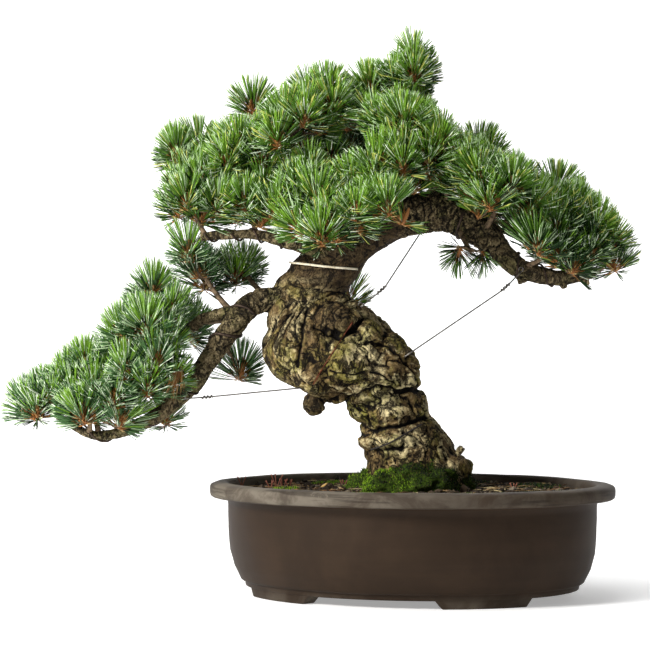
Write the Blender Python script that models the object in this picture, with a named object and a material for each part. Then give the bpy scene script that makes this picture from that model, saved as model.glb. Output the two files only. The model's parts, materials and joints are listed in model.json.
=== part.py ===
"""White pine bonsai in an oval brown pot, in metres, +Z up.

The plant is built as separate named solids: a leaning trunk, its main boughs,
masses of needles on their own stems, the soil, the moss, the pot and the
training wires.  The origin lies on the plane of the pot's feet.
"""
import math
import random
from dataclasses import dataclass

import bmesh
import bpy
import numpy as np
from mathutils import Matrix, Vector

# Overall
OBJECT_NAME = "white_pine_bonsai"
GAP = 0.0003
SEAT = 0.00034
WELD = 0.000001
FLAT = math.radians(0.6)
SEED = 41

# Pot: oval, unglazed, turned a little toward the right front
POT_X = 0.088
POT_TURN = math.radians(-19.3)
POT_SIDES = 28
RIM_A = 0.210
RIM_B = 0.178
RIM_TOP = 0.1135
RIM_DEPTH = 0.0140
RIM_WIDTH = 0.0190
WALL = 0.0100
WALL_INSET = 0.0185
BASE_INSET = 0.0366
FOOT_HEIGHT = 0.0085
FOOT_WIDTH = 0.0200
FOOT_NEAR = 0.063
FOOT_FAR = 0.150
FLOOR = 0.0200

# Soil and moss
SOIL_TOP = 0.1080
SOIL_EDGE_DROP = 0.0040
SOIL_WAVE = 0.0032
MOSS_X = 0.083
MOSS_Y = -0.016
MOSS_A = 0.070
MOSS_B = 0.062
MOSS_HEIGHT = 0.033
MOSS_SIDES = 16

# Trunk and boughs
TRUNK_SIDES = 12
TRUNK_RINGS = 15
BOUGH_RINGS = 7
SWELL = 0.06
LUMP_WAVE = 0.05
SWELL_ROOM = 1.0 + 1.7 * SWELL
LUMP_ROOM = 1.05

# Needles
NEEDLE = 0.0385
BUD_RADIUS = 0.0060
BUD_LENGTH = 0.0140
BUD_SIDES = 4
BUD_ROOM = 0.0095
CELL_MARGIN = 0.0006
LIMB_MARGIN = 0.0016
SHORTEST = 0.55
LENGTHS = (1.0, 0.88, 0.76, 0.65, SHORTEST)
PULLS = (0.52, 0.44, 0.36, 0.28, 0.20, 0.12, 0.04)
DROOP = 0.22
OUTWARD = 0.75
UPWARD = 0.75
LOWEST_RISE = -0.45
TWIG_RADIUS = 0.0015
TWIG_ROOT = 0.0015
TWIG_RISE = 0.08
STEM_SIDES = 4
STEM_STEPS = 2
STEM_END = TWIG_RADIUS * 1.2
STEM_SHARE = 0.55
STEM_BASE = 0.0022
STEM_GROWTH = 0.02
STEM_SAG = 0.10
FORK_REACH = 0.42
FORK_HALFWAY = 0.5

# Training wires
WIRE_RADIUS = 0.0006
WIRE_SIDES = 4


@dataclass(frozen=True)
class Limb:
    """A tapering limb: its parent, its sides and its marks (x, y, z, radius)."""

    name: str
    parent: str
    sides: int
    marks: tuple


@dataclass(frozen=True)
class Mass:
    """A mass of needles: parent limb, place along it, centre, reach and tufts."""

    name: str
    parent: str
    along: float
    centre: tuple
    reach: tuple
    tufts: int


@dataclass(frozen=True)
class Lump:
    """A swelling of cork on the trunk: its centre, its three radii and its sides."""

    centre: tuple
    radii: tuple
    sides: int


TRUNK = Limb("trunk", "", TRUNK_SIDES, (
    (0.102, 0.0, 0.084, 0.0595),
    (0.093, 0.0, 0.112, 0.0545),
    (0.087, 0.0, 0.142, 0.0455),
    (0.0735, 0.0, 0.17, 0.0375),
    (0.062, 0.0, 0.201, 0.039),
    (0.042, 0.0, 0.235, 0.0431),
    (0.008, 0.0, 0.265, 0.043),
    (-0.018, 0.0, 0.296, 0.0375),
    (-0.01, 0.0, 0.317, 0.0325),
    (0.004, 0.0, 0.336, 0.03),
    (0.026, 0.0, 0.36, 0.0267),
    (0.052, 0.0, 0.377, 0.0236),
    (0.079, 0.0, 0.391, 0.0226),
))

LUMPS = (
    Lump((-0.013, -0.006, 0.252), (0.0513, 0.0492, 0.043), 7),
    Lump((0.0445, -0.004, 0.228), (0.0513, 0.0513, 0.039), 7),
    Lump((0.022, -0.004, 0.262), (0.041, 0.0431, 0.0185), 7),
    Lump((0.0655, 0.0, 0.187), (0.041, 0.0431, 0.0164), 7),
    Lump((0.079, 0.0, 0.158), (0.0455, 0.0451, 0.0154), 7),
    Lump((0.12, -0.012, 0.13), (0.033, 0.0267, 0.019), 7),
    Lump((0.005, -0.03, 0.238), (0.0451, 0.0267, 0.0349), 7),
    Lump((0.03, 0.022, 0.255), (0.0349, 0.0369, 0.0287), 7),
    Lump((-0.0105, -0.01, 0.1965), (0.0105, 0.0095, 0.0135), 5),
    Lump((0.007, -0.01, 0.209), (0.02, 0.0144, 0.0135), 5),
    Lump((0.013, -0.038, 0.283), (0.023, 0.015, 0.0165), 5),
    Lump((0.043, -0.032, 0.264), (0.017, 0.019, 0.016), 5),
    Lump((0.066, -0.028, 0.248), (0.017, 0.019, 0.02), 5),
    Lump((0.083, -0.022, 0.227), (0.013, 0.018, 0.019), 5),
    Lump((-0.043, -0.012, 0.285), (0.017, 0.022, 0.026), 5),
    Lump((0.024, -0.048, 0.24), (0.03, 0.014, 0.024), 5),
    Lump((-0.013, -0.044, 0.228), (0.02, 0.014, 0.018), 5),
    Lump((0.046, 0.034, 0.258), (0.023, 0.017, 0.022), 5),
    Lump((-0.01, 0.036, 0.243), (0.025, 0.017, 0.024), 5),
)

BOUGHS = (
    Limb("right_bough", "trunk", 11, (
        (0.069, 0.0, 0.384, 0.0205),
        (0.116, -0.005, 0.392, 0.0205),
        (0.146, -0.01, 0.379, 0.0164),
        (0.175, -0.01, 0.356, 0.0133),
    )),
    Limb("right_bough_end", "right_bough", 8, (
        (0.175, -0.01, 0.356, 0.0123),
        (0.199, -0.012, 0.334, 0.0103),
        (0.235, -0.01, 0.324, 0.0082),
        (0.274, 0.0, 0.328, 0.0051),
    )),
    Limb("right_upper_branch", "right_bough", 6, (
        (0.157, -0.005, 0.377, 0.0072),
        (0.19, 0.0, 0.375, 0.0062),
        (0.227, 0.005, 0.367, 0.0051),
        (0.26, 0.0, 0.369, 0.0041),
    )),
    Limb("lower_left_bough", "trunk", 10, (
        (-0.026, -0.01, 0.301, 0.0144),
        (-0.071, -0.02, 0.298, 0.0123),
        (-0.1, -0.03, 0.266, 0.0113),
        (-0.135, -0.03, 0.214, 0.0092),
    )),
    Limb("lower_left_bend", "lower_left_bough", 7, (
        (-0.135, -0.03, 0.214, 0.0087),
        (-0.177, -0.03, 0.18, 0.0072),
        (-0.231, -0.02, 0.163, 0.0051),
        (-0.275, -0.005, 0.183, 0.0036),
    )),
    Limb("lower_left_branch", "lower_left_bough", 6, (
        (-0.08, -0.02, 0.291, 0.0072),
        (-0.119, -0.02, 0.283, 0.0062),
        (-0.15, -0.02, 0.265, 0.0051),
        (-0.178, -0.02, 0.25, 0.0041),
    )),
    Limb("upper_left_bough", "trunk", 6, (
        (0.0, -0.02, 0.347, 0.0067),
        (-0.035, -0.04, 0.358, 0.0062),
        (-0.076, -0.045, 0.367, 0.0051),
        (-0.126, -0.04, 0.365, 0.0046),
    )),
    Limb("left_crown_bough", "trunk", 6, (
        (0.026, 0.01, 0.36, 0.0113),
        (-0.007, 0.01, 0.396, 0.0092),
        (-0.051, 0.01, 0.433, 0.0072),
        (-0.106, 0.01, 0.419, 0.0046),
    )),
    Limb("leader", "trunk", 8, (
        (0.069, 0.0, 0.381, 0.0123),
        (0.077, 0.005, 0.433, 0.0103),
        (0.071, 0.01, 0.468, 0.0072),
        (0.078, 0.01, 0.495, 0.0046),
    )),
    Limb("back_bough", "trunk", 6, (
        (0.042, 0.0, 0.37, 0.0092),
        (0.035, 0.05, 0.398, 0.0082),
        (0.016, 0.085, 0.423, 0.0062),
        (-0.007, 0.11, 0.435, 0.0046),
    )),
    Limb("right_back_bough", "right_bough", 6, (
        (0.102, 0.0, 0.392, 0.0092),
        (0.112, 0.045, 0.41, 0.0082),
        (0.132, 0.08, 0.425, 0.0062),
        (0.157, 0.105, 0.435, 0.0046),
    )),
)

MASSES = (
    Mass("left_front", "upper_left_bough", 0.96, (-0.139, -0.045, 0.402), (0.039, 0.042, 0.035), 4),
    Mass("left_back", "left_crown_bough", 1.0, (-0.139, 0.03, 0.452), (0.042, 0.046, 0.044), 4),
    Mass("left_middle", "left_crown_bough", 0.82, (-0.091, -0.015, 0.454), (0.039, 0.039, 0.039), 3),
    Mass("left_low", "upper_left_bough", 0.6, (-0.08, -0.05, 0.397), (0.042, 0.042, 0.034), 4),
    Mass("left_shoot", "left_crown_bough", 0.6, (-0.075, 0.05, 0.505), (0.033, 0.035, 0.035), 2),
    Mass("left_inner", "left_crown_bough", 0.5, (-0.036, -0.035, 0.481), (0.038, 0.038, 0.038), 3),
    Mass("left_centre", "left_crown_bough", 0.12, (-0.022, -0.065, 0.411), (0.034, 0.034, 0.034), 2),
    Mass("front_low", "trunk", 0.84, (0.005, -0.1, 0.379), (0.039, 0.039, 0.036), 3),
    Mass("top_left", "leader", 0.6, (-0.003, -0.01, 0.509), (0.045, 0.045, 0.039), 4),
    Mass("top_back", "leader", 0.62, (0.029, 0.085, 0.501), (0.045, 0.045, 0.038), 3),
    Mass("top_middle", "leader", 0.8, (0.046, 0.005, 0.519), (0.036, 0.036, 0.033), 2),
    Mass("apex", "leader", 1.0, (0.0925, 0.005, 0.534), (0.0235, 0.045, 0.053), 4),
    Mass("top_front", "leader", 0.55, (0.077, -0.06, 0.479), (0.044, 0.044, 0.032), 3),
    Mass("front_left", "trunk", 0.92, (0.027, -0.075, 0.418), (0.038, 0.038, 0.035), 3),
    Mass("front_middle", "trunk", 0.97, (0.064, -0.115, 0.395), (0.037, 0.037, 0.031), 3),
    Mass("front_right", "leader", 0.12, (0.086, -0.06, 0.427), (0.032, 0.032, 0.032), 2),
    Mass("right_crown", "right_bough", 0.4, (0.126, -0.045, 0.442), (0.044, 0.044, 0.036), 4),
    Mass("right_top", "right_back_bough", 0.75, (0.157, 0.05, 0.457), (0.046, 0.048, 0.035), 3),
    Mass("right_shoulder", "right_bough", 0.82, (0.181, -0.06, 0.408), (0.046, 0.046, 0.044), 4),
    Mass("right_peak", "right_upper_branch", 0.45, (0.234, 0.035, 0.422), (0.04, 0.042, 0.029), 3),
    Mass("right_outer", "right_upper_branch", 1.0, (0.253, -0.02, 0.389), (0.04, 0.043, 0.036), 4),
    Mass("right_under", "right_bough_end", 0.5, (0.233, -0.045, 0.349), (0.046, 0.046, 0.026), 3),
    Mass("right_tip", "right_bough_end", 1.0, (0.3, 0.0, 0.345), (0.034, 0.034, 0.03), 3),
    Mass("right_hanging", "right_bough", 0.5, (0.15, -0.05, 0.342), (0.03, 0.03, 0.025), 2),
    Mass("low_left_tip", "lower_left_bend", 1.0, (-0.295, 0.0, 0.199), (0.037, 0.038, 0.038), 3),
    Mass("low_left_outer", "lower_left_bend", 0.75, (-0.24, -0.01, 0.231), (0.04, 0.041, 0.037), 3),
    Mass("low_left_end", "lower_left_bend", 0.8, (-0.235, -0.06, 0.19), (0.04, 0.04, 0.03), 3),
    Mass("low_left_front", "lower_left_branch", 1.0, (-0.183, -0.04, 0.273), (0.046, 0.046, 0.038), 4),
    Mass("low_left_upper", "lower_left_branch", 0.8, (-0.184, 0.04, 0.316), (0.033, 0.033, 0.031), 2),
    Mass("low_left_crown", "lower_left_branch", 0.12, (-0.13, -0.01, 0.334), (0.029, 0.033, 0.033), 2),
    Mass("low_left_inner", "lower_left_bough", 0.2, (-0.091, 0.04, 0.339), (0.035, 0.035, 0.029), 2),
    Mass("low_left_under", "lower_left_bough", 0.95, (-0.178, -0.05, 0.216), (0.042, 0.042, 0.035), 3),
    Mass("low_left_spur", "lower_left_bend", 0.22, (-0.162, 0.022, 0.187), (0.026, 0.026, 0.022), 2),
    Mass("low_left_twig", "lower_left_bough", 0.7, (-0.095, 0.02, 0.24), (0.035, 0.035, 0.028), 2),
    Mass("trunk_back", "trunk", 0.62, (0.029, 0.105, 0.315), (0.026, 0.028, 0.028), 2),
    Mass("back_left", "back_bough", 1.0, (-0.068, 0.115, 0.44), (0.051, 0.051, 0.043), 3),
    Mass("back_middle", "back_bough", 0.8, (0.016, 0.136, 0.454), (0.052, 0.052, 0.043), 3),
    Mass("back_right", "right_back_bough", 0.5, (0.097, 0.13, 0.448), (0.05, 0.05, 0.041), 3),
    Mass("back_right_low", "right_bough", 0.9, (0.207, 0.09, 0.408), (0.049, 0.049, 0.036), 3),
    Mass("low_left_back", "lower_left_bough", 0.45, (-0.167, 0.09, 0.281), (0.049, 0.049, 0.042), 3),
)


@dataclass(frozen=True)
class Guy:
    """A straight guy wire between two limbs: its two ends inside them."""

    name: str
    start: tuple
    end: tuple


GUYS = (
    Guy("guy_wire_long", (0.070, -0.020, 0.235), (0.199, -0.014, 0.330)),
    Guy("guy_wire_short", (0.102, -0.004, 0.380), (0.040, -0.012, 0.290)),
    Guy("guy_wire_low", (-0.146, -0.030, 0.199), (0.000, -0.008, 0.210)),
)


def clear_scene():
    """Take away every object, mesh and collection left in the scene."""
    for obj in list(bpy.data.objects):
        bpy.data.objects.remove(obj, do_unlink=True)
    for mesh in list(bpy.data.meshes):
        bpy.data.meshes.remove(mesh)
    for group in list(bpy.data.collections):
        bpy.data.collections.remove(group)


def make_material(name, colour, roughness):
    """A plain non-metal finish."""
    material = bpy.data.materials.new(name)
    material.use_nodes = True
    shader = material.node_tree.nodes["Principled BSDF"]
    shader.inputs["Base Color"].default_value = (*colour, 1.0)
    shader.inputs["Roughness"].default_value = roughness
    shader.inputs["Metallic"].default_value = 0.0
    return material


def make_wire_material():
    """Dull galvanised steel for the guy wires."""
    material = make_material("guy_steel", (0.30, 0.30, 0.31), 0.45)
    shader = material.node_tree.nodes["Principled BSDF"]
    shader.inputs["Metallic"].default_value = 1.0
    return material


def make_object(name, bm, material, group):
    """Turn a bmesh into a named object in a collection."""
    bmesh.ops.recalc_face_normals(bm, faces=bm.faces)
    mesh = bpy.data.meshes.new(name)
    bm.to_mesh(mesh)
    bm.free()
    if material is not None:
        mesh.materials.append(material)
    obj = bpy.data.objects.new(name, mesh)
    group.objects.link(obj)
    return obj


def loft(rings):
    """Skin equal rings of points into one closed solid with flat ends."""
    bm = bmesh.new()
    rows = [[bm.verts.new(point) for point in ring] for ring in rings]
    count = len(rows[0])
    for low, high in zip(rows, rows[1:]):
        for i in range(count):
            j = (i + 1) % count
            bm.faces.new((low[i], low[j], high[j]))
            bm.faces.new((low[i], high[j], high[i]))
    bm.faces.new(list(reversed(rows[0])))
    bm.faces.new(rows[-1])
    return bm


def apply_cut(obj, other, operation, solver="MANIFOLD"):
    """Join, cut or keep against one other solid and bake the result."""
    cut = obj.modifiers.new("fit", "BOOLEAN")
    cut.operation = operation
    cut.solver = solver
    cut.object = other
    bake(obj)


def join_group(obj, group):
    """Fuse every solid of a collection into one, then drop the collection."""
    fuse = obj.modifiers.new("fuse", "BOOLEAN")
    fuse.operation = "UNION"
    fuse.operand_type = "COLLECTION"
    fuse.solver = "MANIFOLD"
    fuse.collection = group
    bake(obj)
    for piece in list(group.objects):
        bpy.data.objects.remove(piece, do_unlink=True)
    bpy.data.collections.remove(group)


def bake(obj):
    """Replace an object's mesh by its modified mesh."""
    bpy.context.view_layer.update()
    graph = bpy.context.evaluated_depsgraph_get()
    mesh = bpy.data.meshes.new_from_object(obj.evaluated_get(graph))
    obj.modifiers.clear()
    old = obj.data
    obj.data = mesh
    bpy.data.meshes.remove(old)


def islands(bm):
    """The separate shells of a mesh, as lists of faces."""
    seen = set()
    shells = []
    for face in bm.faces:
        if face in seen:
            continue
        seen.add(face)
        shell = [face]
        for member in shell:
            for edge in member.edges:
                for near in edge.link_faces:
                    if near not in seen:
                        seen.add(near)
                        shell.append(near)
        shells.append(shell)
    return shells


def spread(shell):
    """The diagonal of a shell's box."""
    points = [vert.co for face in shell for vert in face.verts]
    low = Vector([min(p[k] for p in points) for k in range(3)])
    high = Vector([max(p[k] for p in points) for k in range(3)])
    return (high - low).length


def finish_solid(obj, keep=None):
    """Weld, keep the one wanted shell and triangulate."""
    bm = bmesh.new()
    bm.from_mesh(obj.data)
    bmesh.ops.remove_doubles(bm, verts=bm.verts, dist=WELD)
    bmesh.ops.dissolve_degenerate(bm, dist=WELD, edges=bm.edges)
    shells = islands(bm)
    if len(shells) > 1:
        wanted = max(shells, key=spread)
        if keep is not None:
            wanted = min(shells, key=lambda s: min((v.co - keep).length for f in s for v in f.verts))
        loose = [face for shell in shells if shell is not wanted for face in shell]
        bmesh.ops.delete(bm, geom=loose, context="FACES")
    bmesh.ops.dissolve_limit(bm, angle_limit=FLAT, verts=bm.verts, edges=bm.edges)
    bmesh.ops.triangulate(bm, faces=bm.faces)
    bm.to_mesh(obj.data)
    bm.free()


def box_of(obj):
    """Low and high corners of an object's mesh."""
    points = np.empty(len(obj.data.vertices) * 3)
    obj.data.vertices.foreach_get("co", points)
    points = points.reshape(-1, 3)
    return points.min(axis=0), points.max(axis=0)


def boxes_meet(first, second):
    """Whether two boxes overlap."""
    return bool(np.all(first[0] <= second[1]) and np.all(second[0] <= first[1]))


def seat(obj, solids, keep=None):
    """Cut a solid clear of each swollen solid that it reaches."""
    for other in solids:
        if boxes_meet(box_of(obj), box_of(other)):
            apply_cut(obj, other, "DIFFERENCE")
            finish_solid(obj, keep)


# Pot and soil

def pot_place():
    """The pot's turn and place."""
    return Matrix.Translation((POT_X, 0.0, 0.0)) @ Matrix.Rotation(POT_TURN, 4, "Z")


def oval(inset, height, sides=POT_SIDES):
    """A ring of the pot's oval, drawn in from the rim by an inset."""
    place = pot_place()
    ring = []
    for i in range(sides):
        angle = 2.0 * math.pi * i / sides
        across = (RIM_A - inset) * math.cos(angle)
        deep = (RIM_B - inset) * math.sin(angle)
        ring.append(place @ Vector((across, deep, height)))
    return ring


def pot_profile():
    """Outside from the base up, over the rim and down the inside."""
    lip_under = RIM_TOP - RIM_DEPTH
    inside = WALL_INSET + WALL
    return (
        (BASE_INSET, FOOT_HEIGHT),
        (BASE_INSET - 0.0005, 0.0135),
        (BASE_INSET - 0.0030, 0.0145),
        (BASE_INSET - 0.0105, 0.0270),
        (WALL_INSET + 0.0008, 0.0560),
        (WALL_INSET, lip_under - 0.0020),
        (WALL_INSET - 0.0020, lip_under),
        (0.0022, lip_under),
        (0.0004, lip_under + 0.0020),
        (0.0, RIM_TOP - 0.0022),
        (0.0028, RIM_TOP),
        (RIM_WIDTH - 0.0030, RIM_TOP + 0.0012),
        (RIM_WIDTH, RIM_TOP - 0.0012),
        (RIM_WIDTH + 0.0006, lip_under - 0.0020),
        (inside, lip_under - 0.0140),
        (inside + 0.0150, FLOOR + 0.0060),
        (inside + 0.0240, FLOOR),
    )


def foot_box(low, high):
    """A tall box that spans the pot between two places along its length."""
    bm = bmesh.new()
    bmesh.ops.create_cube(bm, size=1.0)
    bmesh.ops.scale(bm, vec=(high - low, 1.0, 0.1), verts=bm.verts)
    bmesh.ops.translate(bm, vec=((low + high) / 2.0, 0.0, 0.0), verts=bm.verts)
    bmesh.ops.transform(bm, matrix=pot_place(), verts=bm.verts)
    return bm


def build_feet(group):
    """The low ring under the base, parted into four feet."""
    outer = [oval(BASE_INSET, 0.0), oval(BASE_INSET, FOOT_HEIGHT + 0.0030)]
    ring = make_object("feet", loft(outer), None, group)
    inner_inset = BASE_INSET + FOOT_WIDTH
    core = make_object("feet_core", loft([oval(inner_inset, -0.01), oval(inner_inset, 0.05)]), None, group)
    apply_cut(ring, core, "DIFFERENCE")
    bpy.data.objects.remove(core, do_unlink=True)
    for low, high in ((-0.3, -FOOT_FAR), (-FOOT_NEAR, FOOT_NEAR), (FOOT_FAR, 0.3)):
        gap = make_object("feet_gap", foot_box(low, high), None, group)
        apply_cut(ring, gap, "DIFFERENCE")
        bpy.data.objects.remove(gap, do_unlink=True)
    return ring


def build_pot(group, material):
    """The hollow pot with its lip and four feet."""
    rings = [oval(inset, height) for inset, height in pot_profile()]
    pot = make_object("pot", loft(rings), material, group)
    feet = build_feet(group)
    apply_cut(pot, feet, "UNION")
    bpy.data.objects.remove(feet, do_unlink=True)
    finish_solid(pot)
    return pot


def soil_ring(inset, height, wave):
    """A ring of the soil's surface that sinks in shallow hollows."""
    ring = oval(inset, height)
    for i, point in enumerate(ring):
        angle = 2.0 * math.pi * i / POT_SIDES
        hollow = 0.5 + 0.30 * math.sin(4.0 * angle + 40.0 * inset) + 0.20 * math.sin(7.0 * angle)
        point.z -= wave * hollow
    return ring


def build_soil(group, material):
    """The filling of soil, one gap clear of the pot all round."""
    inside = WALL_INSET + WALL + GAP * 1.4
    rings = [
        oval(inside + 0.0245, FLOOR + GAP),
        oval(inside + 0.0152, FLOOR + 0.0060 + GAP),
        oval(inside, RIM_TOP - RIM_DEPTH - 0.0142),
        oval(inside, SOIL_TOP - SOIL_EDGE_DROP),
        soil_ring(inside + 0.0200, SOIL_TOP, SOIL_WAVE),
        soil_ring(inside + 0.0550, SOIL_TOP, SOIL_WAVE),
        oval(inside + 0.0950, SOIL_TOP),
    ]
    soil = make_object("soil", loft(rings), material, group)
    finish_solid(soil)
    return soil


def build_moss(group, material, solids):
    """The cushion of moss on the soil round the trunk's foot."""
    rings = []
    for level in (0.0, 0.30, 0.62, 0.86, 0.98):
        shrink = math.sqrt(1.0 - level * level)
        ring = []
        for i in range(MOSS_SIDES):
            angle = 2.0 * math.pi * i / MOSS_SIDES
            lobe = 1.0 + 0.07 * math.sin(3.0 * angle + 0.8) + 0.05 * math.sin(5.0 * angle)
            x = MOSS_X + MOSS_A * shrink * lobe * math.cos(angle)
            y = MOSS_Y + MOSS_B * shrink * lobe * math.sin(angle)
            ring.append(Vector((x, y, SOIL_TOP + GAP + MOSS_HEIGHT * level)))
        rings.append(ring)
    moss = make_object("moss", loft(rings), material, group)
    seat(moss, solids, Vector((MOSS_X, MOSS_Y - MOSS_B, SOIL_TOP)))
    return moss


# Trunk and boughs

def curve_through(marks, steps):
    """Points (x, y, z, radius) on a smooth curve through the marks."""
    marks = [np.array(mark) for mark in marks]
    ends = [2.0 * marks[0] - marks[1]] + marks + [2.0 * marks[-1] - marks[-2]]
    spans = len(marks) - 1
    points = []
    for i in range(steps + 1):
        place = spans * i / steps
        span = min(int(place), spans - 1)
        t = place - span
        a, b, c, d = ends[span:span + 4]
        point = 0.5 * (2.0 * b + (c - a) * t + (2.0 * a - 5.0 * b + 4.0 * c - d) * t ** 2
                       + (3.0 * b - a - 3.0 * c + d) * t ** 3)
        points.append(point)
    return points


def tangents(points):
    """Unit directions along a list of curve points."""
    found = []
    last = len(points) - 1
    for i in range(len(points)):
        step = points[min(i + 1, last)][:3] - points[max(i - 1, 0)][:3]
        found.append(Vector(step).normalized())
    return found


def tube_rings(points, sides, extra, swell, phase):
    """Rings square to a curve; the ring's radius swells and sinks like bark."""
    directions = tangents(points)
    side = directions[0].orthogonal().normalized()
    rings = []
    for i, (point, along) in enumerate(zip(points, directions)):
        side = (side - along * side.dot(along)).normalized()
        other = along.cross(side)
        centre = Vector(point[:3])
        if i == 0:
            centre -= along * extra
        if i == len(points) - 1:
            centre += along * extra
        ring = []
        for k in range(sides):
            angle = 2.0 * math.pi * k / sides
            wave = math.sin(3.0 * angle + 1.7 * i + phase) + 0.7 * math.sin(5.0 * angle - 0.9 * i + phase)
            radius = point[3] * (1.0 + swell * wave) + extra
            ring.append(centre + (side * math.cos(angle) + other * math.sin(angle)) * radius)
        rings.append(ring)
    return rings


def lump_solid(name, lump, extra, group):
    """One swelling of cork as a low rounded solid."""
    bm = bmesh.new()
    bmesh.ops.create_uvsphere(bm, u_segments=lump.sides, v_segments=4 + lump.sides // 7, radius=1.0)
    for vert in bm.verts:
        wave = 1.0 + LUMP_WAVE * math.sin(7.0 * vert.co.x + 5.0 * vert.co.z)
        for k in range(3):
            vert.co[k] = lump.centre[k] + vert.co[k] * (lump.radii[k] * wave + extra)
    return make_object(name, bm, None, group)


def build_trunk(name, extra, group, material):
    """The trunk from its flat foot on the soil to the fork, with its swellings."""
    points = curve_through(TRUNK.marks, TRUNK_RINGS)
    trunk = make_object(name, loft(tube_rings(points, TRUNK.sides, extra, SWELL, 0.4)), material, group)
    fused = bpy.data.collections.new(name + "_lumps")
    bpy.context.scene.collection.children.link(fused)
    for i, lump in enumerate(LUMPS):
        lump_solid(f"{name}_lump_{i}", lump, extra, fused)
    join_group(trunk, fused)
    bm = bmesh.new()
    bmesh.ops.create_cube(bm, size=1.0)
    foot = SOIL_TOP + GAP - extra
    bmesh.ops.translate(bm, vec=(TRUNK.marks[0][0], 0.0, foot - 0.5), verts=bm.verts)
    ground = make_object("ground", bm, None, group)
    apply_cut(trunk, ground, "DIFFERENCE")
    bpy.data.objects.remove(ground, do_unlink=True)
    finish_solid(trunk)
    return trunk


def limb_marks(limb, curves):
    """A limb's marks; one that goes on from a tip starts a little inside it."""
    parent = curves[limb.parent]
    tip = parent[-1]
    first = np.array(limb.marks[0])
    if np.linalg.norm(tip[:3] - first[:3]) > 0.002:
        return list(limb.marks)
    inner = parent[-2] * 0.6 + tip * 0.4
    inner[3] = first[3] * 0.9
    return [tuple(inner)] + list(limb.marks)


def build_limb(limb, curves, phase, extra, group, material):
    """One bough, tapering along its own curve."""
    points = curves[limb.name]
    name = limb.name if extra == 0.0 else limb.name + "_clear"
    rings = tube_rings(points, limb.sides, extra, SWELL, phase)
    return make_object(name, loft(rings), material, group)


# Masses of needles

class Space:
    """The room that each mass keeps to, and the limbs it stays clear of."""

    def __init__(self):
        self.centres = np.array([mass.centre for mass in MASSES])
        self.reaches = np.array([mass.reach for mass in MASSES])
        self.sizes = self.reaches.mean(axis=1)
        self.starts = np.zeros((0, 3))
        self.ends = np.zeros((0, 3))
        self.thick = np.zeros((0, 2))
        self.owner = np.zeros(0, dtype=int)

    def add_curve(self, points, owner=-1):
        """Note a limb's curve as a row of rounded rods."""
        points = np.array(points)
        self.starts = np.vstack([self.starts, points[:-1, :3]])
        self.ends = np.vstack([self.ends, points[1:, :3]])
        self.thick = np.vstack([self.thick, np.column_stack([points[:-1, 3], points[1:, 3]])])
        self.owner = np.concatenate([self.owner, np.full(len(points) - 1, owner)])

    def inside(self, index, point, margin):
        """Whether a point is in a mass's room, by a margin."""
        centre = self.centres[index]
        reach = self.reaches[index] - margin
        if np.sum(((point - centre) / reach) ** 2) > 1.0:
            return False
        power = np.sum((self.centres - point) ** 2, axis=1) - self.sizes ** 2
        apart = np.linalg.norm(self.centres - centre, axis=1)
        apart[index] = 1.0
        room = (power - power[index]) / (2.0 * apart)
        room[index] = 1.0
        return bool(np.all(room >= margin))

    def clearance(self, index, points):
        """The least distance from some points to every limb but the mass's own."""
        use = self.owner != index
        starts, ends, thick = self.starts[use], self.ends[use], self.thick[use]
        line = ends - starts
        length = np.maximum(np.sum(line ** 2, axis=1), 1e-12)
        offset = points[:, None, :] - starts[None]
        t = np.clip(np.sum(offset * line[None], axis=2) / length, 0.0, 1.0)
        nearest = np.linalg.norm(offset - t[..., None] * line[None], axis=2)
        return float(np.min(nearest - (thick[:, 0] * (1.0 - t) + thick[:, 1] * t)))


def spiral_direction(index, count, turn):
    """Directions spread evenly over the upper part of a sphere."""
    height = 0.92 - 1.25 * (index + 0.5) / count
    angle = turn + index * math.pi * (3.0 - math.sqrt(5.0))
    flat = math.sqrt(max(0.0, 1.0 - height * height))
    return Vector((flat * math.cos(angle), flat * math.sin(angle), height))


def stem_curve(mass, parent_curve):
    """A mass's stem, from the middle of its limb to the fork in its room."""
    place = mass.along * (len(parent_curve) - 1)
    low = min(int(place), len(parent_curve) - 2)
    start = parent_curve[low] + (parent_curve[low + 1] - parent_curve[low]) * (place - low)
    centre = np.array(mass.centre)
    pull = start[:3] - centre
    away = np.linalg.norm(pull / np.array(mass.reach))
    fork = centre + pull * min(FORK_REACH / away, FORK_HALFWAY)
    span = np.linalg.norm(fork - start[:3])
    middle = (start[:3] + fork) / 2.0 + np.array((0.0, 0.0, -STEM_SAG * span))
    root = min(start[3] * STEM_SHARE, STEM_BASE + span * STEM_GROWTH)
    points = []
    for i in range(STEM_STEPS + 1):
        t = i / STEM_STEPS
        place = (1.0 - t) ** 2 * start[:3] + 2.0 * t * (1.0 - t) * middle + t * t * fork
        points.append(np.append(place, root + (STEM_END - root) * t))
    return points


def bud_rings(rng):
    """A slim bud's points, lowest first, with a turn of its own."""
    turn = rng.uniform(0.0, 2.0 * math.pi)
    rings = [[Vector((0.0, 0.0, -BUD_LENGTH * 0.5))]]
    for row, (height, width) in enumerate(((-0.16, 0.95), (0.26, 0.95))):
        ring = []
        for k in range(BUD_SIDES):
            angle = turn + (k + 0.5 * row) * 2.0 * math.pi / BUD_SIDES
            radius = BUD_RADIUS * width
            ring.append(Vector((radius * math.cos(angle), radius * math.sin(angle), height * BUD_LENGTH)))
        rings.append(ring)
    rings.append([Vector((0.0, 0.0, BUD_LENGTH * 0.55))])
    return rings


def bud_faces(rings):
    """The bud's three-sided faces as triples of points."""
    faces = []
    low, top = rings[0][0], rings[-1][0]
    for k in range(BUD_SIDES):
        j = (k + 1) % BUD_SIDES
        faces.append((low, rings[1][j], rings[1][k]))
        faces.append((top, rings[2][k], rings[2][j]))
        faces.append((rings[1][k], rings[1][j], rings[2][k]))
        faces.append((rings[1][j], rings[2][j], rings[2][k]))
    return faces


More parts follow.
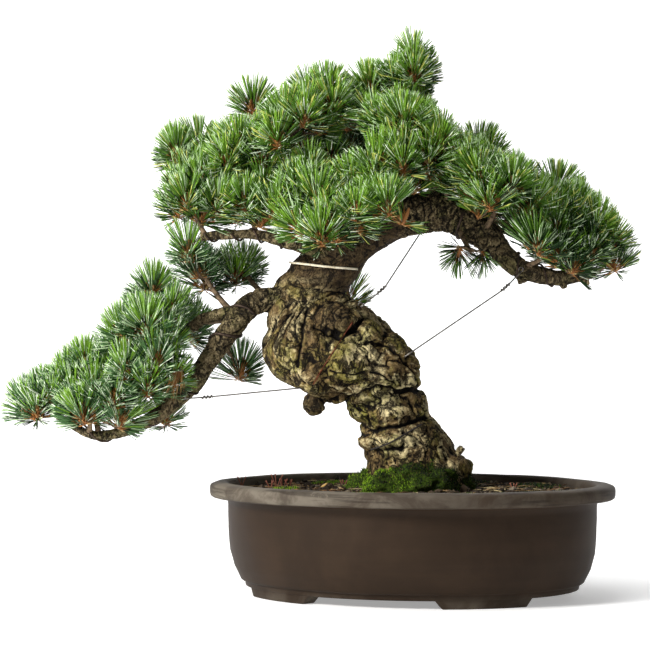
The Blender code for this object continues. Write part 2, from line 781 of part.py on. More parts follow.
def tuft_solid(name, index, heart, axis, space, rng, group):
    """A bud with a spray of needles standing out of it."""
    place = Matrix.Translation(heart) @ axis.to_track_quat("Z", "Y").to_matrix().to_4x4()
    origin = Vector(heart)
    bm = bmesh.new()
    known = {}

    def corner(point):
        if id(point) not in known:
            known[id(point)] = bm.verts.new(place @ point)
        return known[id(point)]

    rings = bud_rings(rng)
    for face in bud_faces(rings):
        corners = [corner(point) for point in face]
        middle = (corners[0].co + corners[1].co + corners[2].co) / 3.0
        ray = (middle - origin).normalized()
        rise = ray.dot(axis)
        tip = None
        if rise > LOWEST_RISE:
            wanted = NEEDLE * (0.90 + 0.10 * rise) * rng.uniform(0.92, 1.04)
            tip = needle_tip(index, origin, ray, wanted, space)
        if tip is None:
            bm.faces.new(corners)
            continue
        point = bm.verts.new(tip)
        for k in range(3):
            bm.faces.new((corners[k], corners[(k + 1) % 3], point))
    return make_object(name, bm, None, group)


def needle_tip(index, origin, ray, wanted, space):
    """The end of a needle kept in its room and off the limbs, or none."""
    for scale in LENGTHS:
        length = wanted * scale
        tip = origin + ray * length
        if not space.inside(index, np.array(tip), CELL_MARGIN):
            continue
        steps = np.linspace(0.12, 1.0, 8)[:, None] * length
        samples = np.array(origin)[None] + np.array(ray)[None] * steps
        if space.clearance(index, samples) > LIMB_MARGIN:
            return tip
    return None


def twig_solid(name, start, end, group):
    """A three-sided twig with a slight rise to its middle."""
    span = float(np.linalg.norm(end - start))
    middle = (start + end) / 2.0 + np.array((0.0, 0.0, TWIG_RISE * span))
    radii = (TWIG_RADIUS * 1.05, TWIG_RADIUS * 0.95, TWIG_RADIUS * 0.80)
    points = [np.append(p, r) for p, r in zip((start, middle, end), radii)]
    return make_object(name, loft(tube_rings(points, 3, 0.0, 0.0, 0.0)), None, group)


def tuft_heart(index, number, mass, turn, space):
    """Where a tuft's bud stands in its mass, and which way it points."""
    ray = spiral_direction(number, mass.tufts, turn)
    centre = Vector(mass.centre)
    for pull in PULLS:
        offset = Vector([ray[k] * mass.reach[k] * pull for k in range(3)])
        offset.z -= DROOP * mass.reach[2]
        heart = centre + offset
        near = np.array(heart)
        if space.inside(index, near, BUD_ROOM) and space.clearance(index, near[None]) > BUD_ROOM:
            axis = (ray * OUTWARD + Vector((0.0, 0.0, UPWARD))).normalized()
            return heart, axis
    return None, None


def build_mass(index, mass, curves, space, solids, group, material):
    """One mass: its stem, the twigs that fork from it and their tufts."""
    rng = random.Random(SEED * 1000 + index)
    stem_points = curves[mass.name]
    stem = make_object(mass.name, loft(tube_rings(stem_points, STEM_SIDES, 0.0, 0.0, 0.0)), material, group)
    fork = stem_points[-1][:3]
    seat(stem, solids, Vector(fork))
    fused = bpy.data.collections.new(mass.name + "_sprays")
    bpy.context.scene.collection.children.link(fused)
    turn = rng.uniform(0.0, 2.0 * math.pi)
    for number in range(mass.tufts):
        heart, axis = tuft_heart(index, number, mass, turn, space)
        if heart is None:
            continue
        root = np.array(heart) - np.array(axis) * BUD_LENGTH * 0.15
        back = stem_points[-2][:3] - fork
        inner = fork + back * (TWIG_ROOT / np.linalg.norm(back))
        line = inner[None] + (root - inner)[None] * np.linspace(0.0, 1.0, 11)[:, None]
        if space.clearance(index, line) < TWIG_RADIUS + LIMB_MARGIN:
            continue
        twig_solid(f"twig_{number}", inner, root, fused)
        tuft_solid(f"tuft_{number}", index, heart, axis, space, rng, fused)
    join_group(stem, fused)
    finish_solid(stem)
    return stem


# Training wires

def build_guy(guy, group, material, solids):
    """One straight guy wire, clear of the limbs at both ends."""
    start, end = np.array(guy.start), np.array(guy.end)
    points = [np.append(start + (end - start) * t, WIRE_RADIUS) for t in (0.0, 0.5, 1.0)]
    wire = make_object(guy.name, loft(tube_rings(points, WIRE_SIDES, 0.0, 0.0, 0.0)), material, group)
    seat(wire, solids, Vector((start + end) / 2.0))
    return wire


def limb_curves():
    """The curve of the trunk, of every bough and of every mass's stem."""
    curves = {"trunk": curve_through(TRUNK.marks, TRUNK_RINGS)}
    for limb in BOUGHS:
        curves[limb.name] = curve_through(limb_marks(limb, curves), BOUGH_RINGS)
    for mass in MASSES:
        curves[mass.name] = stem_curve(mass, curves[mass.parent])
    return curves


def fill_space(curves):
    """Note the limbs, lumps, stems and wires that needles stay clear of."""
    space = Space()
    swollen = np.array((1.0, 1.0, 1.0, SWELL_ROOM))
    for name in ["trunk"] + [limb.name for limb in BOUGHS]:
        space.add_curve([point * swollen for point in curves[name]])
    for lump in LUMPS:
        centre = np.append(np.array(lump.centre), max(lump.radii) * LUMP_ROOM)
        space.add_curve([centre, centre + 1e-6])
    for guy in GUYS:
        space.add_curve([np.append(guy.start, WIRE_RADIUS), np.append(guy.end, WIRE_RADIUS)])
    for index, mass in enumerate(MASSES):
        space.add_curve(curves[mass.name], index)
    return space


def main():
    """Build the whole plant in its pot."""
    clear_scene()
    group = bpy.data.collections.new(OBJECT_NAME)
    spare = bpy.data.collections.new("cutters")
    for collection in (group, spare):
        bpy.context.scene.collection.children.link(collection)
    bark = make_material("trunk_bark", (0.21, 0.16, 0.10), 0.9)
    bough_bark = make_material("bough_bark", (0.17, 0.12, 0.07), 0.85)
    needles = make_material("needle_green", (0.09, 0.20, 0.06), 0.55)
    curves = limb_curves()
    build_pot(group, make_material("pot_stoneware", (0.11, 0.075, 0.05), 0.6))
    build_soil(group, make_material("soil_grit", (0.06, 0.045, 0.03), 0.95))
    build_trunk("trunk", 0.0, group, bark)
    solids = [build_trunk("trunk_clear", SEAT, spare, None)]
    build_moss(group, make_material("moss_green", (0.10, 0.22, 0.03), 0.95), solids)
    for number, limb in enumerate(BOUGHS):
        bough = build_limb(limb, curves, 1.3 * number, 0.0, group, bough_bark)
        seat(bough, solids, Vector(curves[limb.name][-1][:3]))
        finish_solid(bough)
        solids.append(build_limb(limb, curves, 1.3 * number, SEAT, spare, None))
    steel = make_wire_material()
    for guy in GUYS:
        build_guy(guy, group, steel, solids)
    space = fill_space(curves)
    for index, mass in enumerate(MASSES):
        build_mass(index, mass, curves, space, solids, group, needles)
    for cutter in list(spare.objects):
        bpy.data.objects.remove(cutter, do_unlink=True)
    bpy.data.collections.remove(spare)


main()
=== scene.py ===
"""Looks of a white pine bonsai in an oval brown pot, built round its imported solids.

The plant grows here by the same rule as its solids: limbs on smooth curves, a stem
for each mass of needles, and tufts spread by a seeded spiral, carried on to finer
twigs and whole sprays of needles.  Sizes are in metres, +Z up, -Y to the front.
"""

from __future__ import annotations

import json
import logging
import math
import random
from dataclasses import dataclass, field
from enum import Enum

import bmesh
import bpy
import numpy as np
from bmesh.types import BMEdge, BMesh, BMVert
from bpy.types import Material, Mesh, Object
from mathutils import Matrix, Vector, noise
from mathutils.bvhtree import BVHTree

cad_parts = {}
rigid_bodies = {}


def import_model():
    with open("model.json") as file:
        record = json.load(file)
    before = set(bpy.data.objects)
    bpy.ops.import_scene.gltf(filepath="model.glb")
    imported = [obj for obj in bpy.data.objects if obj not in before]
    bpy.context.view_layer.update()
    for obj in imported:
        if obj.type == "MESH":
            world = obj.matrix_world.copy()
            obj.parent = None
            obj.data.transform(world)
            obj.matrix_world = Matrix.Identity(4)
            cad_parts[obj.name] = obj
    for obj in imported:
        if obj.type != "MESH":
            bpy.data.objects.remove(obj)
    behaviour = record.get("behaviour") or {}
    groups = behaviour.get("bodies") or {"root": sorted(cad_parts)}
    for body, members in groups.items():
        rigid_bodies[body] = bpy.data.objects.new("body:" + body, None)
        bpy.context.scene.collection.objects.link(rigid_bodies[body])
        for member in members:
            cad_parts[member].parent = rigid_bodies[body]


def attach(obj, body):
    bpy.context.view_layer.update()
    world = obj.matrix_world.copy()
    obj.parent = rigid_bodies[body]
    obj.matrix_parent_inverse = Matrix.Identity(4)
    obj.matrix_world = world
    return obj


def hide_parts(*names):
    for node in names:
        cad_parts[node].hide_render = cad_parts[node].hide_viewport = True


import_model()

LOG = logging.getLogger("bonsai")
ROOT = "root"
SEED = 41
SPIKE_FACES = 9
GOLDEN = math.pi * (3.0 - math.sqrt(5.0))
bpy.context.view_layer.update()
FRONT = Vector((0.0, -1.0, 0.0))

Array = np.ndarray


class Tone(Enum):
    """The leading colour of a mass of needles."""

    FRESH = "fresh"
    DEEP = "deep"
    BLUE = "blue"


class Coat(Enum):
    """Plain base colours that are dealt out to needles and buds."""

    # The darkest green is partly the colour of old needles and partly painted shade on low, inner and shaded needles.
    DEEP = (0.009, 0.034, 0.004)
    MID = (0.067, 0.158, 0.014)
    FRESH = (0.168, 0.33, 0.026)
    YELLOW = (0.5, 0.53, 0.12)
    BLUE = (0.061, 0.143, 0.043)
    BLOOM = (0.4, 0.54, 0.3)
    FROST = (0.7, 0.78, 0.61)
    DRY = (0.27, 0.135, 0.05)
    SHEATH = (0.34, 0.145, 0.038)
    BUD = (0.33, 0.14, 0.045)
    STRAW = (0.46, 0.31, 0.12)


@dataclass(frozen=True)
class Limb:
    """A tapering limb: its parent and its marks (x, y, z, radius)."""

    name: str
    parent: str
    marks: tuple


@dataclass(frozen=True)
class Mass:
    """A mass of needles: parent limb, place along it, centre, reach and tufts."""

    name: str
    parent: str
    along: float
    centre: tuple
    reach: tuple
    tufts: int


@dataclass(frozen=True)
class Lump:
    """A swelling of cork on the trunk: its centre and its three radii."""

    centre: tuple
    radii: tuple


TRUNK = Limb("trunk", "", (
    (0.102, 0.0, 0.084, 0.0595), (0.093, 0.0, 0.112, 0.0545),
    (0.087, 0.0, 0.142, 0.0455), (0.0735, 0.0, 0.17, 0.0375),
    (0.062, 0.0, 0.201, 0.039), (0.042, 0.0, 0.235, 0.0431),
    (0.008, 0.0, 0.265, 0.043), (-0.018, 0.0, 0.296, 0.0375),
    (-0.01, 0.0, 0.317, 0.0325), (0.004, 0.0, 0.336, 0.03),
    (0.026, 0.0, 0.36, 0.0267), (0.052, 0.0, 0.377, 0.0236),
    (0.079, 0.0, 0.391, 0.0226),
))

LUMPS = tuple(Lump(*row) for row in (
    ((-0.013, -0.006, 0.252), (0.0513, 0.0492, 0.043)),
    ((0.0445, -0.004, 0.228), (0.0513, 0.0513, 0.039)),
    ((0.022, -0.004, 0.262), (0.041, 0.0431, 0.0185)),
    ((0.0655, 0.0, 0.187), (0.041, 0.0431, 0.0164)),
    ((0.079, 0.0, 0.158), (0.0455, 0.0451, 0.0154)),
    ((0.12, -0.012, 0.13), (0.033, 0.0267, 0.019)),
    ((0.005, -0.03, 0.238), (0.0451, 0.0267, 0.0349)),
    ((0.03, 0.022, 0.255), (0.0349, 0.0369, 0.0287)),
    ((-0.0105, -0.01, 0.1965), (0.0105, 0.0095, 0.0135)),
    ((0.007, -0.01, 0.209), (0.02, 0.0144, 0.0135)),
    ((0.013, -0.038, 0.283), (0.023, 0.015, 0.0165)),
    ((0.043, -0.032, 0.264), (0.017, 0.019, 0.016)),
    ((0.066, -0.028, 0.248), (0.017, 0.019, 0.02)),
    ((0.083, -0.022, 0.227), (0.013, 0.018, 0.019)),
    ((-0.043, -0.012, 0.285), (0.017, 0.022, 0.026)),
    ((0.024, -0.048, 0.24), (0.03, 0.014, 0.024)),
    ((-0.013, -0.044, 0.228), (0.02, 0.014, 0.018)),
    ((0.046, 0.034, 0.258), (0.023, 0.017, 0.022)),
    ((-0.01, 0.036, 0.243), (0.025, 0.017, 0.024)),
))

BOUGHS = (
    Limb("right_bough", "trunk", (
        (0.069, 0.0, 0.384, 0.0205), (0.116, -0.005, 0.392, 0.0205),
        (0.146, -0.01, 0.379, 0.0164), (0.175, -0.01, 0.356, 0.0133),
    )),
    Limb("right_bough_end", "right_bough", (
        (0.175, -0.01, 0.356, 0.0123), (0.199, -0.012, 0.334, 0.0103),
        (0.235, -0.01, 0.324, 0.0082), (0.274, 0.0, 0.328, 0.0051),
    )),
    Limb("right_upper_branch", "right_bough", (
        (0.157, -0.005, 0.377, 0.0072), (0.19, 0.0, 0.375, 0.0062),
        (0.227, 0.005, 0.367, 0.0051), (0.26, 0.0, 0.369, 0.0041),
    )),
    Limb("lower_left_bough", "trunk", (
        (-0.026, -0.01, 0.301, 0.0144), (-0.071, -0.02, 0.298, 0.0123),
        (-0.1, -0.03, 0.266, 0.0113), (-0.135, -0.03, 0.214, 0.0092),
    )),
    Limb("lower_left_bend", "lower_left_bough", (
        (-0.135, -0.03, 0.214, 0.0087), (-0.177, -0.03, 0.18, 0.0072),
        (-0.231, -0.02, 0.163, 0.0051), (-0.275, -0.005, 0.183, 0.0036),
    )),
    Limb("lower_left_branch", "lower_left_bough", (
        (-0.08, -0.02, 0.291, 0.0072), (-0.119, -0.02, 0.283, 0.0062),
        (-0.15, -0.02, 0.265, 0.0051), (-0.178, -0.02, 0.25, 0.0041),
    )),
    Limb("upper_left_bough", "trunk", (
        (0.0, -0.02, 0.347, 0.0067), (-0.035, -0.04, 0.358, 0.0062),
        (-0.076, -0.045, 0.367, 0.0051), (-0.126, -0.04, 0.365, 0.0046),
    )),
    Limb("left_crown_bough", "trunk", (
        (0.026, 0.01, 0.36, 0.0113), (-0.007, 0.01, 0.396, 0.0092),
        (-0.051, 0.01, 0.433, 0.0072), (-0.106, 0.01, 0.419, 0.0046),
    )),
    Limb("leader", "trunk", (
        (0.069, 0.0, 0.381, 0.0123), (0.077, 0.005, 0.433, 0.0103),
        (0.071, 0.01, 0.468, 0.0072), (0.078, 0.01, 0.495, 0.0046),
    )),
    Limb("back_bough", "trunk", (
        (0.042, 0.0, 0.37, 0.0092), (0.035, 0.05, 0.398, 0.0082),
        (0.016, 0.085, 0.423, 0.0062), (-0.007, 0.11, 0.435, 0.0046),
    )),
    Limb("right_back_bough", "right_bough", (
        (0.102, 0.0, 0.392, 0.0092), (0.112, 0.045, 0.41, 0.0082),
        (0.132, 0.08, 0.425, 0.0062), (0.157, 0.105, 0.435, 0.0046),
    )),
)

MASSES = tuple(Mass(*row) for row in (
    ("left_front", "upper_left_bough", 0.96, (-0.139, -0.045, 0.402), (0.039, 0.042, 0.035), 4),
    ("left_back", "left_crown_bough", 1.0, (-0.139, 0.03, 0.452), (0.042, 0.046, 0.044), 4),
    ("left_middle", "left_crown_bough", 0.82, (-0.091, -0.015, 0.454), (0.039, 0.039, 0.039), 3),
    ("left_low", "upper_left_bough", 0.6, (-0.08, -0.05, 0.397), (0.042, 0.042, 0.034), 4),
    ("left_shoot", "left_crown_bough", 0.6, (-0.075, 0.05, 0.505), (0.033, 0.035, 0.035), 2),
    ("left_inner", "left_crown_bough", 0.5, (-0.036, -0.035, 0.481), (0.038, 0.038, 0.038), 3),
    ("left_centre", "left_crown_bough", 0.12, (-0.022, -0.065, 0.411), (0.034, 0.034, 0.034), 2),
    ("front_low", "trunk", 0.84, (0.005, -0.1, 0.379), (0.039, 0.039, 0.036), 3),
    ("top_left", "leader", 0.6, (-0.003, -0.01, 0.509), (0.045, 0.045, 0.039), 4),
    ("top_back", "leader", 0.62, (0.029, 0.085, 0.501), (0.045, 0.045, 0.038), 3),
    ("top_middle", "leader", 0.8, (0.046, 0.005, 0.519), (0.036, 0.036, 0.033), 2),
    ("apex", "leader", 1.0, (0.0925, 0.005, 0.534), (0.0235, 0.045, 0.053), 4),
    ("top_front", "leader", 0.55, (0.077, -0.06, 0.479), (0.044, 0.044, 0.032), 3),
    ("front_left", "trunk", 0.92, (0.027, -0.075, 0.418), (0.038, 0.038, 0.035), 3),
    ("front_middle", "trunk", 0.97, (0.064, -0.115, 0.395), (0.037, 0.037, 0.031), 3),
    ("front_right", "leader", 0.12, (0.086, -0.06, 0.427), (0.032, 0.032, 0.032), 2),
    ("right_crown", "right_bough", 0.4, (0.126, -0.045, 0.442), (0.044, 0.044, 0.036), 4),
    ("right_top", "right_back_bough", 0.75, (0.157, 0.05, 0.457), (0.046, 0.048, 0.035), 3),
    ("right_shoulder", "right_bough", 0.82, (0.181, -0.06, 0.408), (0.046, 0.046, 0.044), 4),
    ("right_peak", "right_upper_branch", 0.45, (0.234, 0.035, 0.422), (0.04, 0.042, 0.029), 3),
    ("right_outer", "right_upper_branch", 1.0, (0.253, -0.02, 0.389), (0.04, 0.043, 0.036), 4),
    ("right_under", "right_bough_end", 0.5, (0.233, -0.045, 0.349), (0.046, 0.046, 0.026), 3),
    ("right_tip", "right_bough_end", 1.0, (0.3, 0.0, 0.345), (0.034, 0.034, 0.03), 3),
    ("right_hanging", "right_bough", 0.5, (0.15, -0.05, 0.342), (0.03, 0.03, 0.025), 2),
    ("low_left_tip", "lower_left_bend", 1.0, (-0.295, 0.0, 0.199), (0.037, 0.038, 0.038), 3),
    ("low_left_outer", "lower_left_bend", 0.75, (-0.24, -0.01, 0.231), (0.04, 0.041, 0.037), 3),
    ("low_left_end", "lower_left_bend", 0.8, (-0.235, -0.06, 0.19), (0.04, 0.04, 0.03), 3),
    ("low_left_front", "lower_left_branch", 1.0, (-0.183, -0.04, 0.273), (0.046, 0.046, 0.038), 4),
    ("low_left_upper", "lower_left_branch", 0.8, (-0.184, 0.04, 0.316), (0.033, 0.033, 0.031), 2),
    ("low_left_crown", "lower_left_branch", 0.12, (-0.13, -0.01, 0.334), (0.029, 0.033, 0.033), 2),
    ("low_left_inner", "lower_left_bough", 0.2, (-0.091, 0.04, 0.339), (0.035, 0.035, 0.029), 2),
    ("low_left_under", "lower_left_bough", 0.95, (-0.178, -0.05, 0.216), (0.042, 0.042, 0.035), 3),
    ("low_left_spur", "lower_left_bend", 0.22, (-0.162, 0.022, 0.187), (0.026, 0.026, 0.022), 2),
    ("low_left_twig", "lower_left_bough", 0.7, (-0.095, 0.02, 0.24), (0.035, 0.035, 0.028), 2),
    ("trunk_back", "trunk", 0.62, (0.029, 0.105, 0.315), (0.026, 0.028, 0.028), 2),
    ("back_left", "back_bough", 1.0, (-0.068, 0.115, 0.44), (0.051, 0.051, 0.043), 3),
    ("back_middle", "back_bough", 0.8, (0.016, 0.136, 0.454), (0.052, 0.052, 0.043), 3),
    ("back_right", "right_back_bough", 0.5, (0.097, 0.13, 0.448), (0.05, 0.05, 0.041), 3),
    ("back_right_low", "right_bough", 0.9, (0.207, 0.09, 0.408), (0.049, 0.049, 0.036), 3),
    ("low_left_back", "lower_left_bough", 0.45, (-0.167, 0.09, 0.281), (0.049, 0.049, 0.042), 3),
))


# The trunk's deep lines seen from the front: places (x, z), width, depth, and whether only the front has it.
CREASES = (
    (((0.0189, 0.1945), (0.0236, 0.1988), (0.032, 0.2035), (0.0439, 0.2088),
      (0.063, 0.2095), (0.0845, 0.2078), (0.1012, 0.2095)), 0.003, 0.006, False),
    (((0.0296, 0.1737), (0.0415, 0.1713), (0.0559, 0.1706), (0.0702, 0.1737),
      (0.0893, 0.1773), (0.1036, 0.1821)), 0.0027, 0.0055, False),
    (((0.0272, 0.262), (0.0415, 0.2608), (0.0559, 0.2549), (0.0702, 0.2477),
      (0.0821, 0.2394), (0.0905, 0.225), (0.0941, 0.2131)), 0.0017, 0.0034, True),
    (((-0.0169, 0.2943), (-0.0224, 0.2752), (-0.0241, 0.2632),
      (-0.0277, 0.2441), (-0.0301, 0.2322)), 0.002, 0.0034, True),
    (((-0.0122, 0.2716), (0.001, 0.2675), (0.0153, 0.2604),
      (0.0272, 0.2704), (0.0368, 0.2799)), 0.0022, 0.0036, True),
    (((-0.0105, 0.2847), (-0.005, 0.2938), (0.0081, 0.2986)), 0.0018, 0.002, True),
    (((0.0057, 0.2298), (0.0248, 0.2269), (0.0439, 0.2286),
      (0.0606, 0.2214), (0.0714, 0.2174)), 0.0015, 0.0022, True),
    (((0.0301, 0.194), (0.0392, 0.1868), (0.0468, 0.1768)), 0.0015, 0.0024, True),
    (((0.0774, 0.2047), (0.0893, 0.194), (0.0941, 0.1821)), 0.0014, 0.002, True),
    (((0.0797, 0.1677), (0.0917, 0.1558), (0.1179, 0.1515)), 0.0015, 0.0022, True),
)

# The trunk's bark: pale spots, partly painted light (place, reach), dents (place, reach, lift), spots of painted shade
# (place, reach), cut stubs (rows of x, y, z, radius) and its age along its length.
TRUNK_LIGHTS = (
    (0.033, -0.06, 0.243, 0.011), (0.064, -0.045, 0.19, 0.019), (0.04, -0.04, 0.162, 0.008),
    (0.058, -0.055, 0.226, 0.01), (-0.04, -0.03, 0.25, 0.012), (0.076, -0.04, 0.16, 0.009),
)
TRUNK_DENTS = (
    (-0.003, -0.052, 0.268, 0.007, -0.004), (0.038, -0.05, 0.282, 0.007, -0.003),
    (-0.03, -0.045, 0.262, 0.009, -0.004), (0.032, -0.055, 0.246, 0.008, -0.003),
    (0.142, -0.012, 0.147, 0.013, -0.006),
)
TRUNK_SHADES = (
    (0.013, -0.052, 0.283, 0.021), (-0.0105, -0.015, 0.196, 0.023), (-0.018, -0.045, 0.262, 0.01),
)
TRUNK_STUBS = (
    ((0.126, -0.018, 0.134, 0.005), (0.134, -0.02, 0.144, 0.0034), (0.1415, -0.02, 0.1535, 0.0022)),
    ((0.094, -0.008, 0.2, 0.006), (0.1035, -0.01, 0.202, 0.0045)),
)
TRUNK_AGES = (
    (0.0, 0.8), (0.14, 1.0), (0.22, 1.3), (0.37, 1.3), (0.44, 1.0), (0.58, 0.9), (0.66, 0.25), (1.0, 0.1),
)
BOUGH_STUBS = (
    ((0.1985, -0.012, 0.328, 0.005), (0.2005, -0.013, 0.323, 0.0048), (0.2015, -0.014, 0.318, 0.004)),
    ((0.2425, -0.01, 0.322, 0.0045), (0.243, -0.011, 0.318, 0.0042), (0.244, -0.012, 0.3135, 0.0032)),
    ((0.2665, -0.005, 0.3255, 0.004), (0.267, -0.005, 0.321, 0.0036), (0.2685, -0.006, 0.3165, 0.0028)),
)


# Shader expressions

class Val:
    """A shader socket that takes part in Python expressions."""

    def __init__(self, paint: Paint, socket: bpy.types.NodeSocket) -> None:
        """Wrap a socket of a material's tree."""
        self.paint = paint
        self.socket = socket

    def _math(self, operation: str, first: Val | float, second: Val | float, clamp: bool = False) -> Val:
        """The result of a Math node, held between 0 and 1 where clamp is set."""
        settings = {"operation": operation, "use_clamp": clamp}
        return self.paint.made("ShaderNodeMath", settings, {0: first, 1: second})

    def __add__(self, other: Val | float) -> Val:
        """Sum."""
        return self._math("ADD", self, other)

    __radd__ = __add__

    def __sub__(self, other: Val | float) -> Val:
        """Difference."""
        return self._math("SUBTRACT", self, other)

    def __rsub__(self, other: float) -> Val:
        """Reflected difference."""
        return self._math("SUBTRACT", other, self)

    def __mul__(self, other: Val | float) -> Val:
        """Product."""
        return self._math("MULTIPLY", self, other)

    __rmul__ = __mul__

    def clamp(self) -> Val:
        """The value held between 0 and 1."""
        return self._math("ADD", self, 0.0, clamp=True)

    def over(self, low: float, high: float) -> Val:
        """A smooth step from 0 at low to 1 at high."""
        ends = {"Value": self, "From Min": low, "From Max": high}
        return self.paint.made("ShaderNodeMapRange", {"interpolation_type": "SMOOTHSTEP"}, ends, "Result")


class Paint:
    """One procedural material under construction."""

    def __init__(self, name: str, roughness: float = 0.8, metallic: float = 0.0, shine: float = 0.15) -> None:
        """Start a Principled material.

        Args:
            name: the material's name.
            roughness: the roughness where nothing varies it.
            metallic: 1 for bare metal.
            shine: how strongly it mirrors, where 0.5 is glass.
        """
        self.material = bpy.data.materials.new(name)
        self.material.use_nodes = True
        self.tree = self.material.node_tree
        self.shader = self.tree.nodes["Principled BSDF"]
        self.shader.inputs["Roughness"].default_value = roughness
        self.shader.inputs["Metallic"].default_value = metallic
        self.shader.inputs["Specular IOR Level"].default_value = 0.5 if metallic else shine

    def node(self, kind: str, settings: dict, inputs: dict) -> bpy.types.Node:
        """Add a node, set it up and feed it.

        Args:
            kind: the node's type.
            settings: attributes that are set first.
            inputs: values or expressions by socket name or number.

        Returns:
            The new node.
        """
        made = self.tree.nodes.new(kind)
        for key, value in settings.items():
            setattr(made, key, value)
        for key, value in inputs.items():
            if isinstance(value, Val):
                self.tree.links.new(value.socket, made.inputs[key])
            elif isinstance(value, tuple) and len(value) == 3 and made.inputs[key].type == "RGBA":
                made.inputs[key].default_value = (*value, 1.0)
            else:
                made.inputs[key].default_value = value
        return made

    def made(self, kind: str, settings: dict, inputs: dict, output: str | int = 0) -> Val:
        """One output of a new node."""
        return Val(self, self.node(kind, settings, inputs).outputs[output])

    def vector(self, operation: str, first: Val, second: Val | Vector, output: str = "Vector") -> Val:
        """The result of a Vector Math node."""
        return self.made("ShaderNodeVectorMath", {"operation": operation}, {0: first, 1: second}, output)

    def place(self, scale: tuple = (1.0, 1.0, 1.0)) -> Val:
        """Object coordinates, stretched by a scale."""
        spot = self.made("ShaderNodeTexCoord", {}, {}, "Object")
        return self.made("ShaderNodeMapping", {}, {"Vector": spot, "Scale": Vector(scale)}, "Vector")

    def noise(self, spot: Val, scale: float, detail: float = 4.0, rough: float = 0.55, warp: float = 0.0) -> Val:
        """Cloudy noise between 0 and 1."""
        settings = {"Vector": spot, "Scale": scale, "Detail": detail, "Roughness": rough, "Distortion": warp}
        return self.made("ShaderNodeTexNoise", {}, settings)

    def cells(self, spot: Val, scale: float) -> Val:
        """Distances in a cell pattern."""
        return self.made("ShaderNodeTexVoronoi", {}, {"Vector": spot, "Scale": scale}, "Distance")

    def warped(self, spot: Val, scale: float, amount: float) -> Val:
        """Coordinates pushed about by noise, so that a pattern on them wanders."""
        cloud = self.made("ShaderNodeTexNoise", {}, {"Vector": spot, "Scale": scale, "Detail": 3.0}, "Color")
        parts = {0: cloud, 1: Vector((amount,) * 3), 2: spot}
        return self.made("ShaderNodeVectorMath", {"operation": "MULTIPLY_ADD"}, parts, "Vector")

    def flakes(self, spot: Val, scale: float) -> Val:
        """The height of small flakes that each tilt their own way."""
        cell = self.node("ShaderNodeTexVoronoi", {}, {"Vector": spot, "Scale": scale})
        away = self.vector("SUBTRACT", spot, Val(self, cell.outputs["Position"]))
        lean = self.vector("SUBTRACT", Val(self, cell.outputs["Color"]), Vector((0.5, 0.5, 0.5)))
        return self.vector("DOT_PRODUCT", away, lean, "Value") * scale + 0.5

    def attribute(self, name: str) -> Val:
        """A value stored on the mesh's points."""
        return self.made("ShaderNodeAttribute", {"attribute_name": name}, {}, "Fac")

    def mix(self, mask: Val | float, low: Val | tuple, high: Val | tuple) -> Val:
        """A colour between a low and a high one, as far toward the high one as the mask says."""
        return self.made("ShaderNodeMix", {"data_type": "RGBA"}, {0: mask, 6: low, 7: high}, 2)

    def colour(self, value: Val | tuple) -> Paint:
        """Feed the base colour."""
        if isinstance(value, Val):
            self.tree.links.new(value.socket, self.shader.inputs["Base Color"])
        else:
            self.shader.inputs["Base Color"].default_value = (*value, 1.0)
        return self

    def rough(self, value: Val) -> Paint:
        """Feed the roughness."""
        self.tree.links.new(value.socket, self.shader.inputs["Roughness"])
        return self

    def bump(self, height: Val, strength: float, distance: float) -> Paint:
        """Feed the normal from a height."""
        made = self.node("ShaderNodeBump", {}, {"Height": height, "Strength": strength, "Distance": distance})
        self.tree.links.new(made.outputs["Normal"], self.shader.inputs["Normal"])
        return self


# Finishes

